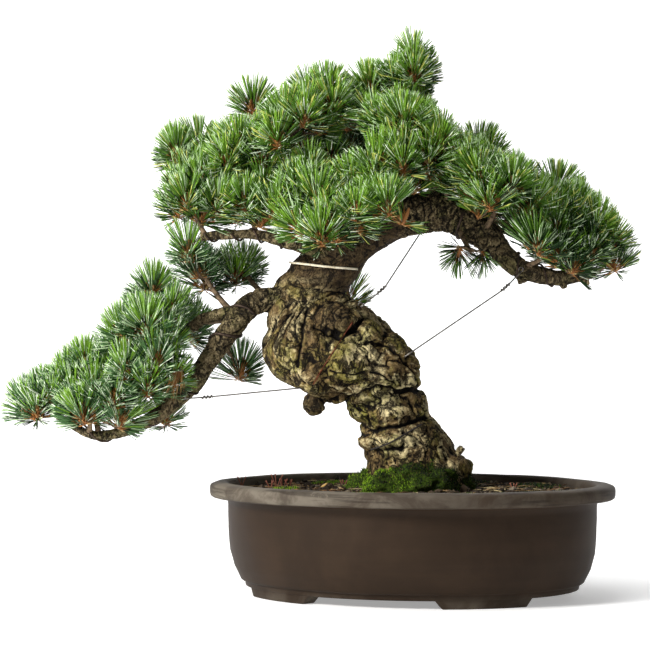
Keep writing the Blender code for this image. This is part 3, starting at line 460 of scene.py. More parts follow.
@dataclass(frozen=True)
class BarkFinish:
    """Plated bark: dark fissures, brown-grey plates, lichen and pale patches, with painted light and shade on its
    flakes, ridges, pits and spots.
    """

    name: str
    fissure: tuple
    plate: tuple
    tan: tuple
    pale: tuple
    lichen: tuple
    lichen_share: float
    young: tuple = (0.07, 0.046, 0.027)
    plates: float = 105.0

    def make(self) -> Material:
        """The bark's material, which reads the mesh's hollows and tones."""
        paint = Paint(self.name, roughness=0.92)
        spot = paint.place()
        depth = paint.attribute("cavity")
        tone = paint.attribute("tone")
        age = paint.attribute("age")
        fine = paint.noise(spot, 460.0, 6.0, 0.7)
        broad = paint.noise(spot, 30.0, 4.0, 0.6, 0.4)
        wander = paint.warped(paint.place((1.0, 1.0, 0.66)), 55.0, 0.014)
        mottle = paint.noise(wander, self.plates, 7.0, 0.66)
        blotch = paint.noise(wander, self.plates * 0.45, 5.0, 0.62)
        shard = paint.flakes(wander, self.plates * 1.15)
        chip = paint.flakes(paint.warped(spot, 120.0, 0.006), self.plates * 2.7)
        # Each flake is tan at its raised end and darker at its low end, painted light and shade over the random
        # mottle.
        base = paint.mix((mottle * 0.6 + shard * 0.25 + chip * 0.15).over(0.36, 0.6), self.plate, self.tan)
        # Pale patches follow the tone, which holds the pale spots that are partly painted light.
        light = ((blotch * 0.3 + mottle * 0.3 + tone * 0.34 + chip * 0.1).over(0.47, 0.66) * age).clamp()
        base = paint.mix(light, base, self.pale)
        grown = (broad.over(0.46, 0.62) * mottle.over(0.3, 0.52) * age * self.lichen_share).clamp()
        base = paint.mix(grown, base, self.lichen)
        # Young bark is darker; where shade spots have lowered the age, this is painted shade.
        base = paint.mix((age.over(0.75, 0.25) * 0.75).clamp(), base, self.young)
        base = paint.mix((fine.over(0.46, 0.68) * 0.6).clamp(), base, self.fissure)
        # Ridges are paled, partly worn bark and partly painted highlight.
        wear_and_light = (depth.over(0.6, 0.92) * fine.over(0.7, 0.35) * age).clamp()
        base = paint.mix(wear_and_light, base, self.pale)
        split = (self.cracks(paint, wander, 0.52) * broad.over(0.34, 0.46)
                 + self.cracks(paint, wander, 1.35) * blotch.over(0.44, 0.56) * 0.7).clamp()
        base = paint.mix((split * 0.9).clamp(), base, self.fissure)
        # The pits take the near-black fissure colour: partly the fissures' own colour and partly painted shade.
        paint.colour(paint.mix(depth.over(0.34, 0.59), self.fissure, base))
        paint.rough((0.78 + 0.17 * fine).clamp())
        paint.bump(fine * 0.5 + mottle * 0.8 + shard * 1.3 + chip * 0.7 - split * 1.4, 1.0, 0.002)
        return paint.material

    def cracks(self, paint: Paint, spot: Val, share: float) -> Val:
        """Thin ragged lines where a noise crosses its middle: 1 on a line and 0 off it."""
        veins = paint.noise(spot, self.plates * share, 6.0, 0.58, 0.7) - 0.5
        return (veins * veins).over(0.001, 0.00008)


@dataclass(frozen=True)
class PlainFinish:
    """A plain base colour for needles and other tiny things."""

    name: str
    tint: tuple
    roughness: float = 0.5

    def make(self) -> Material:
        """The plain material."""
        return Paint(self.name, roughness=self.roughness, shine=0.2).colour(self.tint).material


@dataclass(frozen=True)
class StonewareFinish:
    """Unglazed brown clay, weathered pale on the lip and paler still on its left as painted light, with faint stains.
    """

    body: tuple = (0.0215, 0.013, 0.0077)
    dark: tuple = (0.011, 0.007, 0.005)
    warm: tuple = (0.033, 0.02, 0.0118)
    bloom: tuple = (0.15, 0.13, 0.102)
    rim_low: float = 0.099
    rim_high: float = 0.101

    def make(self) -> Material:
        """The pot's material, which reads the height above the feet and the place from left to right."""
        paint = Paint("pot_stoneware_finish", roughness=0.5, shine=0.08)
        spot = paint.place()
        across, level = (paint.made("ShaderNodeSeparateXYZ", {}, {0: spot}, axis) for axis in "XZ")
        cloud = paint.noise(spot, 11.0, 5.0, 0.6, 0.4)
        bands = paint.noise(paint.place((0.35, 0.35, 6.0)), 16.0, 5.0, 0.6, 0.2)
        stain = paint.noise(spot, 24.0, 6.0, 0.65, 0.8)
        grain = paint.noise(spot, 900.0, 3.0, 0.7)
        speck = paint.cells(spot, 260.0)
        base = paint.mix((cloud * 0.85 + bands * 0.2).over(0.4, 0.75), self.body, self.warm)
        base = paint.mix(((1.0 - speck.over(0.04, 0.14)) * grain.over(0.45, 0.6) * 0.6).clamp(), base, self.dark)
        lip = level.over(self.rim_low, self.rim_high)
        # The lip is pale partly from weathering and partly as painted light: paler on the left, darker to the right.
        wear_and_light = (lip * (0.38 + 0.75 * stain.over(0.36, 0.6)) * (1.0 - 0.68 * across.over(-0.1, 0.2))).clamp()
        base = paint.mix((wear_and_light * 0.85).clamp(), base, self.bloom)
        damp = (lip * stain.over(0.66, 0.6) * bands.over(0.52, 0.6)).clamp()
        base = paint.mix((damp * 0.55).clamp(), base, self.dark)
        foot = (1.0 - level.over(0.0, 0.016)) * cloud.over(0.38, 0.62)
        base = paint.mix((foot * 0.5).clamp(), base, self.bloom)
        paint.colour(base)
        paint.rough((0.46 + 0.16 * cloud + 0.3 * wear_and_light).clamp())
        paint.bump(grain * 0.5 + bands * 0.25, 0.22, 0.0005)
        return paint.material


@dataclass(frozen=True)
class SoilFinish:
    """Dark moist grit with paler crumbs."""

    dark: tuple = (0.022, 0.016, 0.011)
    light: tuple = (0.125, 0.092, 0.06)

    def make(self) -> Material:
        """The soil's material."""
        paint = Paint("soil_grit_finish", roughness=0.95)
        spot = paint.place()
        crumbs = paint.cells(spot, 330.0)
        fine = paint.noise(spot, 700.0, 5.0, 0.7)
        broad = paint.noise(spot, 38.0, 4.0, 0.6)
        base = paint.mix((crumbs.over(0.2, 0.7) * fine.over(0.35, 0.65)).clamp(), self.dark, self.light)
        base = paint.mix((broad.over(0.5, 0.75) * 0.6).clamp(), base, (0.05, 0.04, 0.022))
        paint.colour(base)
        paint.bump(crumbs * 0.8 + fine * 0.5, 0.9, 0.0014)
        return paint.material


@dataclass(frozen=True)
class MossFinish:
    """Bright cushion moss over dark thatch."""

    dark: tuple = (0.008, 0.012, 0.003)
    bright: tuple = (0.06, 0.105, 0.008)

    def make(self) -> Material:
        """The moss cushion's material."""
        paint = Paint("moss_thatch_finish", roughness=0.95)
        spot = paint.place()
        fine = paint.noise(spot, 620.0, 6.0, 0.75)
        broad = paint.noise(spot, 55.0, 4.0, 0.6)
        base = paint.mix(fine.over(0.32, 0.66), self.dark, self.bright)
        base = paint.mix((broad.over(0.55, 0.8) * 0.5).clamp(), base, (0.06, 0.05, 0.018))
        paint.colour(base)
        paint.bump(fine, 1.0, 0.0016)
        return paint.material


@dataclass(frozen=True)
class WireFinish:
    """Dull wire with faint scratches and dark spots."""

    name: str
    tint: tuple
    dull: tuple
    roughness: float
    metallic: float = 1.0

    def make(self) -> Material:
        """The wire's material."""
        paint = Paint(self.name, roughness=self.roughness, metallic=self.metallic)
        spot = paint.place()
        spots = paint.noise(spot, 300.0, 4.0, 0.6)
        paint.colour(paint.mix(spots.over(0.4, 0.7), self.tint, self.dull))
        paint.rough((self.roughness + 0.25 * spots).clamp())
        return paint.material


Finish = BarkFinish | PlainFinish | StonewareFinish | SoilFinish | MossFinish | WireFinish


def tinted(name: str, tints: tuple, roughness: float) -> list[Material]:
    """A plain material for each tint, numbered from 1."""
    return [PlainFinish(f"{name}_{i + 1}", tint, roughness).make() for i, tint in enumerate(tints)]


# Meshes from arrays and from operators

def link(name: str, data: bpy.types.ID) -> Object:
    """A new object in the scene."""
    made = bpy.data.objects.new(name, data)
    bpy.context.scene.collection.objects.link(made)
    return made


def add_piece(name: str, mesh: Mesh, materials: list, nodes: tuple = ()) -> Object:
    """Link a finished mesh as a piece of the plant.

    Args:
        name: the piece's name.
        mesh: its mesh, in place.
        materials: its materials, by slot number.
        nodes: the solids that it stands for.

    Returns:
        The piece.
    """
    for material in materials:
        mesh.materials.append(material)
    piece = link(name, mesh)
    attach(piece, ROOT)
    if nodes:
        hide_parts(*nodes)
    LOG.info("%s: %d faces", name, len(mesh.polygons))
    return piece


class Batch:
    """Many small closed shapes gathered into one mesh."""

    def __init__(self, name: str) -> None:
        """Start an empty batch."""
        self.name = name
        self.points: list[Array] = []
        self.faces: list[Array] = []
        self.kinds: list[Array] = []
        self.count = 0

    def add(self, points: Array, faces: Array, kinds: Array) -> None:
        """Add shapes.

        Args:
            points: corner places, one row each.
            faces: rows of four corner numbers, the last -1 on a three-sided face.
            kinds: a material number for each face.
        """
        shifted = np.where(faces >= 0, faces + self.count, -1)
        self.points.append(points)
        self.faces.append(shifted)
        self.kinds.append(kinds)
        self.count += len(points)

    def triangles(self) -> int:
        """How many triangles the batch holds."""
        return int(sum(np.sum(np.where(f[:, 3] >= 0, 2, 1)) for f in self.faces))

    def mesh(self, smooth: bool = True) -> Mesh:
        """The gathered mesh."""
        points = np.concatenate(self.points)
        faces = np.concatenate(self.faces)
        kinds = np.concatenate(self.kinds)
        sides = np.where(faces[:, 3] >= 0, 4, 3)
        corners = faces[faces >= 0]
        starts = np.concatenate([[0], np.cumsum(sides)[:-1]])
        made = bpy.data.meshes.new(self.name)
        made.vertices.add(len(points))
        made.vertices.foreach_set("co", points.astype(np.float32).ravel())
        made.loops.add(len(corners))
        made.loops.foreach_set("vertex_index", corners.astype(np.int32))
        made.polygons.add(len(faces))
        made.polygons.foreach_set("loop_start", starts.astype(np.int32))
        made.polygons.foreach_set("loop_total", sides.astype(np.int32))
        made.polygons.foreach_set("material_index", kinds.astype(np.int32))
        made.polygons.foreach_set("use_smooth", np.full(len(faces), smooth))
        made.update(calc_edges=True)
        made.validate()
        return made


def unit(rows: Array) -> Array:
    """Each row brought to length 1."""
    return rows / np.maximum(np.linalg.norm(rows, axis=1, keepdims=True), 1e-9)


def turned(angles: Array, first: Array, second: Array) -> Array:
    """Directions turned by some angles from a first one toward a second one."""
    return np.cos(angles)[:, None] * first + np.sin(angles)[:, None] * second


def side_frames(directions: Array) -> tuple[Array, Array]:
    """Two unit directions square to each given unit direction."""
    helper = np.where(np.abs(directions[:, 2:3]) < 0.9, np.array([[0.0, 0.0, 1.0]]), np.array([[1.0, 0.0, 0.0]]))
    first = unit(np.cross(directions, helper))
    return first, np.cross(directions, first)


def spikes(base: Array, middle: Array, tip: Array, width: Array, turn: Array) -> tuple[Array, Array]:
    """Three-sided spikes with one bend, pointed at both ends.

    Args:
        base: where each starts.
        middle: where each bends.
        tip: where each ends.
        width: half the thickness of each.
        turn: the turn of each about its length.

    Returns:
        The corner places and the faces: three sides at the root, three in the middle, three at the tip.
    """
    count = len(base)
    first, second = side_frames(unit(tip - base))
    rows = [base]
    for centre, scale in ((base + (middle - base) * 0.42, 0.9), (middle, 1.0)):
        for k in range(3):
            rows.append(centre + (width * scale)[:, None] * turned(turn + k * math.tau / 3.0, first, second))
    rows.append(tip)
    points = np.stack(rows, axis=1).reshape(-1, 3)
    pattern = [[0, 1 + (k + 1) % 3, 1 + k, -1] for k in range(3)]
    pattern += [[1 + k, 1 + (k + 1) % 3, 4 + (k + 1) % 3, 4 + k] for k in range(3)]
    pattern += [[4 + k, 4 + (k + 1) % 3, 7, -1] for k in range(3)]
    cell = np.array(pattern)
    offsets = (np.arange(count) * 8)[:, None, None]
    faces = np.where(cell[None] >= 0, cell[None] + offsets, -1).reshape(-1, 4)
    return points, faces


def tube(points: Array, radii: Array, sides: int) -> tuple[Array, Array]:
    """A round tube on a path, closed to a point at both ends.

    Args:
        points: the path.
        radii: a radius at each point.
        sides: how many sides.

    Returns:
        The corner places and the faces.
    """
    steps = unit(np.gradient(points, axis=0))
    angles = np.arange(sides) * math.tau / sides
    side = np.cross(steps[0], [0.3, 0.2, 0.93])
    rings = []
    for centre, along, radius in zip(points, steps, radii):
        side = side - along * np.dot(side, along)
        side /= np.linalg.norm(side)
        rings.append(centre + radius * turned(angles, side, np.cross(along, side)))
    count = len(points)
    start = points[0] - steps[0] * radii[0] * 0.4
    end = points[-1] + steps[-1] * radii[-1] * 0.6
    corners = np.concatenate(rings + [start[None], end[None]])
    faces = []
    for row in range(count - 1):
        for k in range(sides):
            j = (k + 1) % sides
            low, high = row * sides, (row + 1) * sides
            faces.append((low + k, low + j, high + j, high + k))
    last = (count - 1) * sides
    for k in range(sides):
        j = (k + 1) % sides
        faces.append((j, k, count * sides, -1))
        faces.append((last + k, last + j, count * sides + 1, -1))
    return corners, np.array(faces)


def curve_through(marks: list, steps: int) -> Array:
    """Rows (x, y, z, radius) on a smooth curve through the marks."""
    rows = [np.array(mark, float) for mark in marks]
    ends = [2.0 * rows[0] - rows[1]] + rows + [2.0 * rows[-1] - rows[-2]]
    spans = len(rows) - 1
    points = []
    for i in range(steps + 1):
        place = spans * i / steps
        span = min(int(place), spans - 1)
        t = place - span
        a, b, c, d = ends[span:span + 4]
        points.append(0.5 * (2.0 * b + (c - a) * t + (2.0 * a - 5.0 * b + 4.0 * c - d) * t ** 2
                             + (3.0 * b - a - 3.0 * c + d) * t ** 3))
    return np.array(points)


# The plant's limbs

@dataclass
class Growth:
    """The curves that trunk, boughs and stems follow, and where they leave room."""

    trunk_steps: int = 15
    bough_steps: int = 7
    twig_radius: float = 0.0015
    curves: dict = field(default_factory=dict)

    def __post_init__(self) -> None:
        """Work out every curve, parents first."""
        self.curves["trunk"] = curve_through(list(TRUNK.marks), self.trunk_steps)
        for limb in BOUGHS:
            self.curves[limb.name] = curve_through(self.limb_marks(limb), self.bough_steps)

    def limb_marks(self, limb: Limb) -> list:
        """A limb's marks; one that goes on from a tip starts a little inside it."""
        parent = self.curves[limb.parent]
        first = np.array(limb.marks[0])
        if np.linalg.norm(parent[-1][:3] - first[:3]) > 0.002:
            return list(limb.marks)
        inner = parent[-2] * 0.6 + parent[-1] * 0.4
        inner[3] = first[3] * 0.9
        return [tuple(inner)] + list(limb.marks)

    def stem(self, mass: Mass, steps: int) -> Array:
        """A mass's stem from the middle of its limb to the fork in its room.

        Args:
            mass: the mass.
            steps: how many spans the stem has.

        Returns:
            Rows (x, y, z, radius).
        """
        parent = self.curves[mass.parent]
        place = mass.along * (len(parent) - 1)
        low = min(int(place), len(parent) - 2)
        start = parent[low] + (parent[low + 1] - parent[low]) * (place - low)
        centre = np.array(mass.centre)
        pull = start[:3] - centre
        away = np.linalg.norm(pull / np.array(mass.reach))
        fork = centre + pull * min(0.42 / away, 0.5)
        span = np.linalg.norm(fork - start[:3])
        middle = (start[:3] + fork) / 2.0 + np.array((0.0, 0.0, -0.1 * span))
        root = min(start[3] * 0.55, 0.0022 + span * 0.02)
        t = np.linspace(0.0, 1.0, steps + 1)[:, None]
        path = (1.0 - t) ** 2 * start[:3] + 2.0 * t * (1.0 - t) * middle + t * t * fork
        return np.hstack([path, root + (self.twig_radius * 1.2 - root) * t])

    def rods(self) -> tuple[Array, Array, Array]:
        """Trunk, boughs and lumps as rounded rods: starts, ends and thicknesses."""
        starts, ends, thick = [], [], []
        for name in ["trunk"] + [limb.name for limb in BOUGHS]:
            rows = self.curves[name]
            starts.append(rows[:-1, :3])
            ends.append(rows[1:, :3])
            thick.append(np.column_stack([rows[:-1, 3], rows[1:, 3]]))
        for lump in LUMPS:
            centre = np.array([lump.centre])
            starts.append(centre)
            ends.append(centre + 1e-6)
            thick.append(np.full((1, 2), min(lump.radii)))
        return np.concatenate(starts), np.concatenate(ends), np.concatenate(thick)


def clearance(points: Array, rods: tuple[Array, Array, Array]) -> Array:
    """The distance from each point to the nearest rod's surface.

    Args:
        points: places.
        rods: starts, ends and thicknesses.

    Returns:
        One distance for each place, less than 0 inside a rod.
    """
    starts, ends, thick = rods
    line = ends - starts
    length = np.maximum(np.sum(line ** 2, axis=1), 1e-12)
    offset = points[:, None, :] - starts[None]
    t = np.clip(np.sum(offset * line[None], axis=2) / length, 0.0, 1.0)
    nearest = np.linalg.norm(offset - t[..., None] * line[None], axis=2)
    return np.min(nearest - (thick[:, 0] * (1.0 - t) + thick[:, 1] * t), axis=1)


def gap_to_line(flat: Array, marks: tuple) -> Array:
    """The distance from each flat place to a line through some marks."""
    gap = np.full(len(flat), 1.0)
    for start, end in zip(np.array(marks), np.array(marks[1:])):
        way = end - start
        share = np.clip((flat - start) @ way / (way @ way), 0.0, 1.0)
        gap = np.minimum(gap, np.linalg.norm(flat - start - share[:, None] * way, axis=1))
    return gap


def fade(points: Array, place: list, reach: float) -> Array:
    """A soft spot's strength at each point, 1 at its middle."""
    return np.exp(-(np.linalg.norm(points - np.array(place), axis=1) / reach) ** 2)


@dataclass
class Bark:
    """A limb's skin, grown together in fine cells and cut by fissures."""

    growth: Growth
    piece: str
    limbs: tuple
    lumps: tuple
    voxel: float
    plate: float
    depth: float
    sides: int
    finish: BarkFinish
    slot: str
    foot: float | None = None
    seam: float | None = None
    stretch: float = 0.35
    swells: float = 30.0
    swell: float = 0.0
    creases: tuple = ()
    folds: tuple = ((0.5, 1.0), (1.15, 0.42), (2.5, 0.16))
    dents: tuple = ()
    stubs: tuple = ()
    # shades are spots of painted shade; lights are pale spots, partly the bark's own paleness and partly painted
    # light.
    shades: tuple = ()
    lights: tuple = ()
    ages: tuple = ((0.0, 1.0), (1.0, 1.0))
    shade_strength: float = 0.82
    light_tone: float = 0.55
    light_ease: float = 0.45

    def rough_mesh(self) -> Object:
        """The limbs and lumps as overlapping closed shells in one object."""
        bm = bmesh.new()
        for name in self.limbs:
            limb = TRUNK if name == "trunk" else next(b for b in BOUGHS if b.name == name)
            marks = list(limb.marks) if name == "trunk" else self.growth.limb_marks(limb)
            Shapes.rod(bm, curve_through(marks, 10 * len(marks)), self.sides)
        for marks in self.stubs:
            Shapes.rod(bm, curve_through(list(marks), 12), 12)
        for lump in self.lumps:
            shape = Matrix.Translation(lump.centre) @ Matrix.Diagonal((*lump.radii, 1.0))
            bmesh.ops.create_icosphere(bm, subdivisions=4, radius=1.0, matrix=shape)
        bmesh.ops.recalc_face_normals(bm, faces=bm.faces)
        mesh = bpy.data.meshes.new(self.piece)
        bm.to_mesh(mesh)
        bm.free()
        return link(self.piece + "_rough", mesh)

    def grown_mesh(self) -> Mesh:
        """The shells grown together into one fine skin."""
        rough = self.rough_mesh()
        remesh = rough.modifiers.new("grow", "REMESH")
        remesh.mode = "VOXEL"
        remesh.voxel_size = self.voxel
        smooth = rough.modifiers.new("ease", "SMOOTH")
        smooth.iterations = 4
        bpy.context.view_layer.update()
        graph = bpy.context.evaluated_depsgraph_get()
        mesh = bpy.data.meshes.new_from_object(rough.evaluated_get(graph))
        bpy.data.objects.remove(rough, do_unlink=True)
        return mesh

    def flow(self, points: Array) -> tuple[Array, Array, Array]:
        """The limb's direction, thickness and share of its length nearest to each point."""
        curves = [self.growth.curves[name] for name in self.limbs]
        rows = np.concatenate(curves)
        ways = unit(np.concatenate([np.gradient(curve[:, :3], axis=0) for curve in curves]))
        shares = np.concatenate([np.linspace(0.0, 1.0, len(curve)) for curve in curves])
        found = np.empty((len(points), 5))
        for begin in range(0, len(points), 4000):
            part = points[begin:begin + 4000]
            gap = np.linalg.norm(part[:, None] - rows[None, :, :3], axis=2) / (rows[None, :, 3] + 0.01)
            weight = np.exp(-6.0 * (gap - gap.min(axis=1, keepdims=True)))
            weight /= weight.sum(axis=1, keepdims=True)
            found[begin:begin + 4000] = weight @ np.column_stack([ways, rows[:, 3], shares])
        return found[:, :3], found[:, 3], found[:, 4]

    def relief(self, spot: Vector) -> tuple[float, float]:
        """The height and the tone of the bark at one place.

        Args:
            spot: the place, in plate widths.

        Returns:
            A height, about -1 in a fissure and 0 to 0.6 on a plate, and a tone from 0 to 1.
        """
        place = spot + noise.noise_vector(spot * 0.8) * 0.45 + noise.noise_vector(spot * 2.6) * 0.2
        height = 0.12 * noise.fractal(spot * 6.0, 0.9, 2.1, 3)
        for scale, share in self.folds:
            ridge = min(1.0, abs(noise.noise(place * scale + Vector((scale * 7.3, 0.0, 0.0)))) / 0.24)
            height -= share * (1.0 - ridge ** 0.5)
        gaps, flakes = noise.voronoi(place * 1.9, distance_metric="MANHATTAN")
        chip = noise.cell(flakes[0] * 11.3)
        slope = (place * 1.9 - flakes[0]).dot(noise.cell_vector(flakes[0] * 7.7) - Vector((0.5, 0.5, 0.8)))
        height += 0.18 * (chip - 0.5) + 0.3 * slope - 0.14 * (1.0 - min(1.0, (gaps[1] - gaps[0]) / 0.14))
        tone = 0.5 + 0.6 * noise.noise(place * 0.8 + Vector((3.1, 0.0, 0.0))) + 0.25 * (chip - 0.5)
        return height, min(1.0, max(0.0, tone))

    def crease(self, points: Array) -> Array:
        """How deep the lines and dents cut at each point."""
        cut = np.zeros(len(points))
        for *place, reach, lift in self.dents:
            cut -= lift * fade(points, place, reach)
        if not self.creases:
            return cut
        wander = np.array([noise.noise(Vector(p) * 45.0) + 0.5 * noise.noise(Vector(p) * 120.0) for p in points])
        flat = points[:, (0, 2)] + wander[:, None] * np.array((0.003, 0.0045))
        for marks, width, depth, front in self.creases:
            side = np.where(points[:, 1] < -0.012, 1.0, 0.0) if front else 1.0
            cut += depth * side * np.exp(-(gap_to_line(flat, marks) / width) ** 2)
        return cut

    def carve(self, mesh: Mesh) -> None:
        """Raise the plates, sink fissures and folds, and note depth and tone."""
        points = self.read(mesh, "co")
        normals = self.read(mesh, "normal")
        directions, radii, share = self.flow(points)
        along = np.sum(points * directions, axis=1, keepdims=True)
        shrunk = points - directions * along * self.stretch
        skin = np.array([self.relief(Vector(row) / self.plate) for row in shrunk])
        swell = np.array([noise.fractal(Vector(row) * self.swells, 1.0, 2.0, 2) for row in points])
        scale = self.depth * np.clip(radii / np.max(radii) * 1.4, 0.3, 1.0)
        age = np.interp(share, *zip(*self.ages))
        rugged = np.clip(age, 0.5, 1.0)
        # Each shade spot lowers the age, so the finish paints it dark: painted shade.
        for *place, reach in self.shades:
            age = age * (1.0 - self.shade_strength * fade(points, place, reach))
        tone = skin[:, 1]
        # Each pale spot raises the tone: partly the bark's own paleness, partly painted light.
        for *place, reach in self.lights:
            glow = fade(points, place, reach)
            tone = np.clip(tone + self.light_tone * glow, 0.0, 1.0)
            rugged = rugged * (1.0 - self.light_ease * glow)
        push = (skin[:, 0] + 0.45) * scale * rugged + swell * self.swell - self.crease(points)
        moved = points + normals * push[:, None]
        if self.foot is not None:
            moved[:, 2] = np.maximum(moved[:, 2], self.foot)
        mesh.vertices.foreach_set("co", moved.ravel())
        mesh.update()
        pit = self.hollows(mesh, 5, self.depth * 0.36) * 0.6 + self.hollows(mesh, 40, self.depth * 1.1) * 0.4
        self.store(mesh, "cavity", pit)
        self.store(mesh, "tone", tone)
        self.store(mesh, "age", age)
        mesh.polygons.foreach_set("use_smooth", np.full(len(mesh.polygons), True))
        mesh.update()

    @staticmethod
    def read(mesh: Mesh, field_name: str) -> Array:
        """Rows of three values of every point."""
        values = np.empty(len(mesh.vertices) * 3)
        mesh.vertices.foreach_get(field_name, values)
        return values.reshape(-1, 3)

    @staticmethod
    def store(mesh: Mesh, name: str, values: Array) -> None:
        """Store one value for each point."""
        made = mesh.attributes.new(name, "FLOAT", "POINT")
        made.data.foreach_set("value", values.astype(np.float32))

    def hollows(self, mesh: Mesh, rounds: int, scale: float) -> Array:
        """How far each point stands out of its surroundings, 0 in a pit to 1 on a ridge.

        Args:
            mesh: the carved mesh.
            rounds: how far the surroundings reach.
            scale: the height that counts as fully in or out.

        Returns:
            One value for each point.
        """
        points = self.read(mesh, "co")
        normals = self.read(mesh, "normal")
        edges = np.empty(len(mesh.edges) * 2, dtype=np.int64)
        mesh.edges.foreach_get("vertices", edges)
        first, second = edges.reshape(-1, 2).T
        count = np.bincount(first, minlength=len(points)) + np.bincount(second, minlength=len(points))
        eased = points.copy()
        for _ in range(rounds):
            total = np.empty_like(eased)
            for k in range(3):
                total[:, k] = np.bincount(first, eased[second, k], len(points))
                total[:, k] += np.bincount(second, eased[first, k], len(points))
            eased = total / np.maximum(count, 1)[:, None]
        out = np.sum((points - eased) * normals, axis=1)
        return np.clip(0.5 + out / (2.0 * scale), 0.0, 1.0)

    def half(self, mesh: Mesh, upper: bool) -> Mesh:
        """The skin on one side of its seam, closed there by a flat inner face."""
        bm = bmesh.new()
        bm.from_mesh(mesh)
        cut = bmesh.ops.bisect_plane(bm, geom=bm.verts[:] + bm.edges[:] + bm.faces[:], plane_co=(0.0, 0.0, self.seam),
                                     plane_no=(0.0, 0.0, 1.0), clear_outer=not upper, clear_inner=upper)
        rim = [g for g in cut["geom_cut"] if isinstance(g, BMEdge)]
        for face in bmesh.ops.holes_fill(bm, edges=rim, sides=0)["faces"]:
            face.smooth = False
        for edge in rim:
            edge.smooth = False
        made = bpy.data.meshes.new(self.piece)
        bm.to_mesh(made)
        bm.free()
        return made

    def build(self) -> list[Object]:
        """Grow, carve and dress the bark, in two pieces where it has a seam."""
        mesh = self.grown_mesh()
        self.carve(mesh)
        finish = [self.finish.make()]
        if self.seam is None:
            return [add_piece(self.piece, mesh, finish, self.limbs)]
        return [add_piece(self.piece, self.half(mesh, False), finish, self.limbs),
                add_piece(self.piece + "_upper", self.half(mesh, True), finish)]


# Masses of needles

